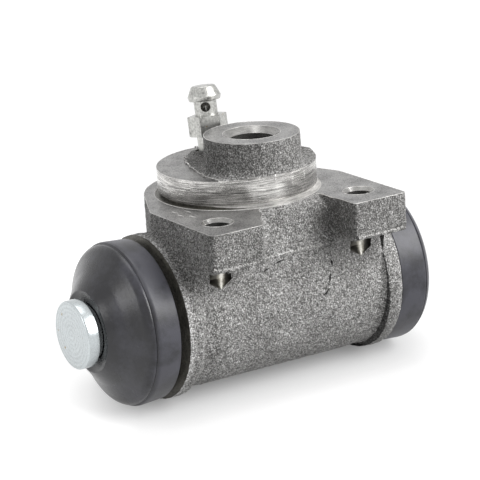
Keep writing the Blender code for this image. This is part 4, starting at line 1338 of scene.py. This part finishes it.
floor_material, tree, shader, place = new_material("white_card", 0.0, 0.9)
shader.inputs['Base Color'].default_value = (CARD_GREY, CARD_GREY, CARD_GREY, 1.0)
ahead = tool_distance(tree, place, CONTACT, FLOOR_FORWARD, False)
along = math_node(tree, 'ABSOLUTE', tool_distance(tree, place, CONTACT, ALONG, False))
past_end = math_node(tree, 'MAXIMUM', math_node(tree, 'SUBTRACT', along, CONTACT_HALF), 0.0)
squares = plus(tree, times(tree, ahead, ahead), times(tree, past_end, past_end))
from_contact = math_node(tree, 'SQRT', squares)
glow = ramp_node(tree, times(tree, from_contact, 1.0 / GLOW_REACH), [
    (0.0, (0.28, 0.28, 0.28)), (0.5, (0.57, 0.57, 0.57)), (1.0, (1.0, 1.0, 1.0))])
leftwards = tool_distance(tree, place, (0, 0, 0), LEFT_WAY, False)
at_left = risen(tree, leftwards, LEFT_START, LEFT_REACH)
rays = tree.nodes.new('ShaderNodeLightPath')
looked_at = math_node(tree, 'MAXIMUM', rays.outputs['Is Camera Ray'], rays.outputs['Is Glossy Ray'])
glow = times(tree, looked_at, plus(tree, glow, times(tree, at_left, LEFT_EXTRA)))
tree.links.new(glow, shader.inputs['Emission Color'])
shader.inputs['Emission Strength'].default_value = CARD_GLOW
floor.data.materials.append(floor_material)
print("floor touches the collars at z", round(CONTACT.z / MM, 2), "mm")

# %% [markdown]
# The world is white as well. What the camera sees directly, in a reflection or through glass has
# full strength, and all other rays get a fourteenth of it, so the world hardly lights the object.

# %% World
UNSEEN_STRENGTH = 0.07
world = bpy.data.worlds.new("white_tent")
bpy.context.scene.world = world
world.use_nodes = True
tree = world.node_tree
background = tree.nodes['Background']
background.inputs['Color'].default_value = (1.0, 1.0, 1.0, 1.0)
rays = tree.nodes.new('ShaderNodeLightPath')
seen = math_node(tree, 'MAXIMUM', rays.outputs['Is Camera Ray'], math_node(
    tree, 'MAXIMUM', rays.outputs['Is Glossy Ray'], rays.outputs['Is Transmission Ray']))
strength = plus(tree, times(tree, seen, 1.0 - UNSEEN_STRENGTH), UNSEEN_STRENGTH)
tree.links.new(strength, background.inputs['Strength'])
print("world:", world.name)

# %% [markdown]
# The light is that of a small studio tent: one large soft light from the right and in front, a weak
# one from above, and a small one low on the left that brightens the nose and the left end.

# %% Lights
def area_light(name, place, target, size, power):
    """Add a soft square light that faces a point. Size is in metres and power in watts."""
    data = bpy.data.lights.new(name, 'AREA')
    data.size = size
    data.energy = power
    light = bpy.data.objects.new(name, data)
    bpy.context.scene.collection.objects.link(light)
    light.location = place
    light.rotation_euler = (Vector(place) - Vector(target)).to_track_quat('Z', 'Y').to_euler()
    print(name, "light,", power, "W")


area_light("key", (0.53, -0.76, 0.60), (0, 0, -0.01), 0.75, 14.0)
area_light("top", (0.0, 0.15, 0.9), (0, 0, 0), 0.6, 2.0)
area_light("left", (-0.88, 0.16, 0.22), (-0.02, 0, -0.01), 0.25, 0.85)
bpy.context.scene.view_settings.view_transform = 'Standard'
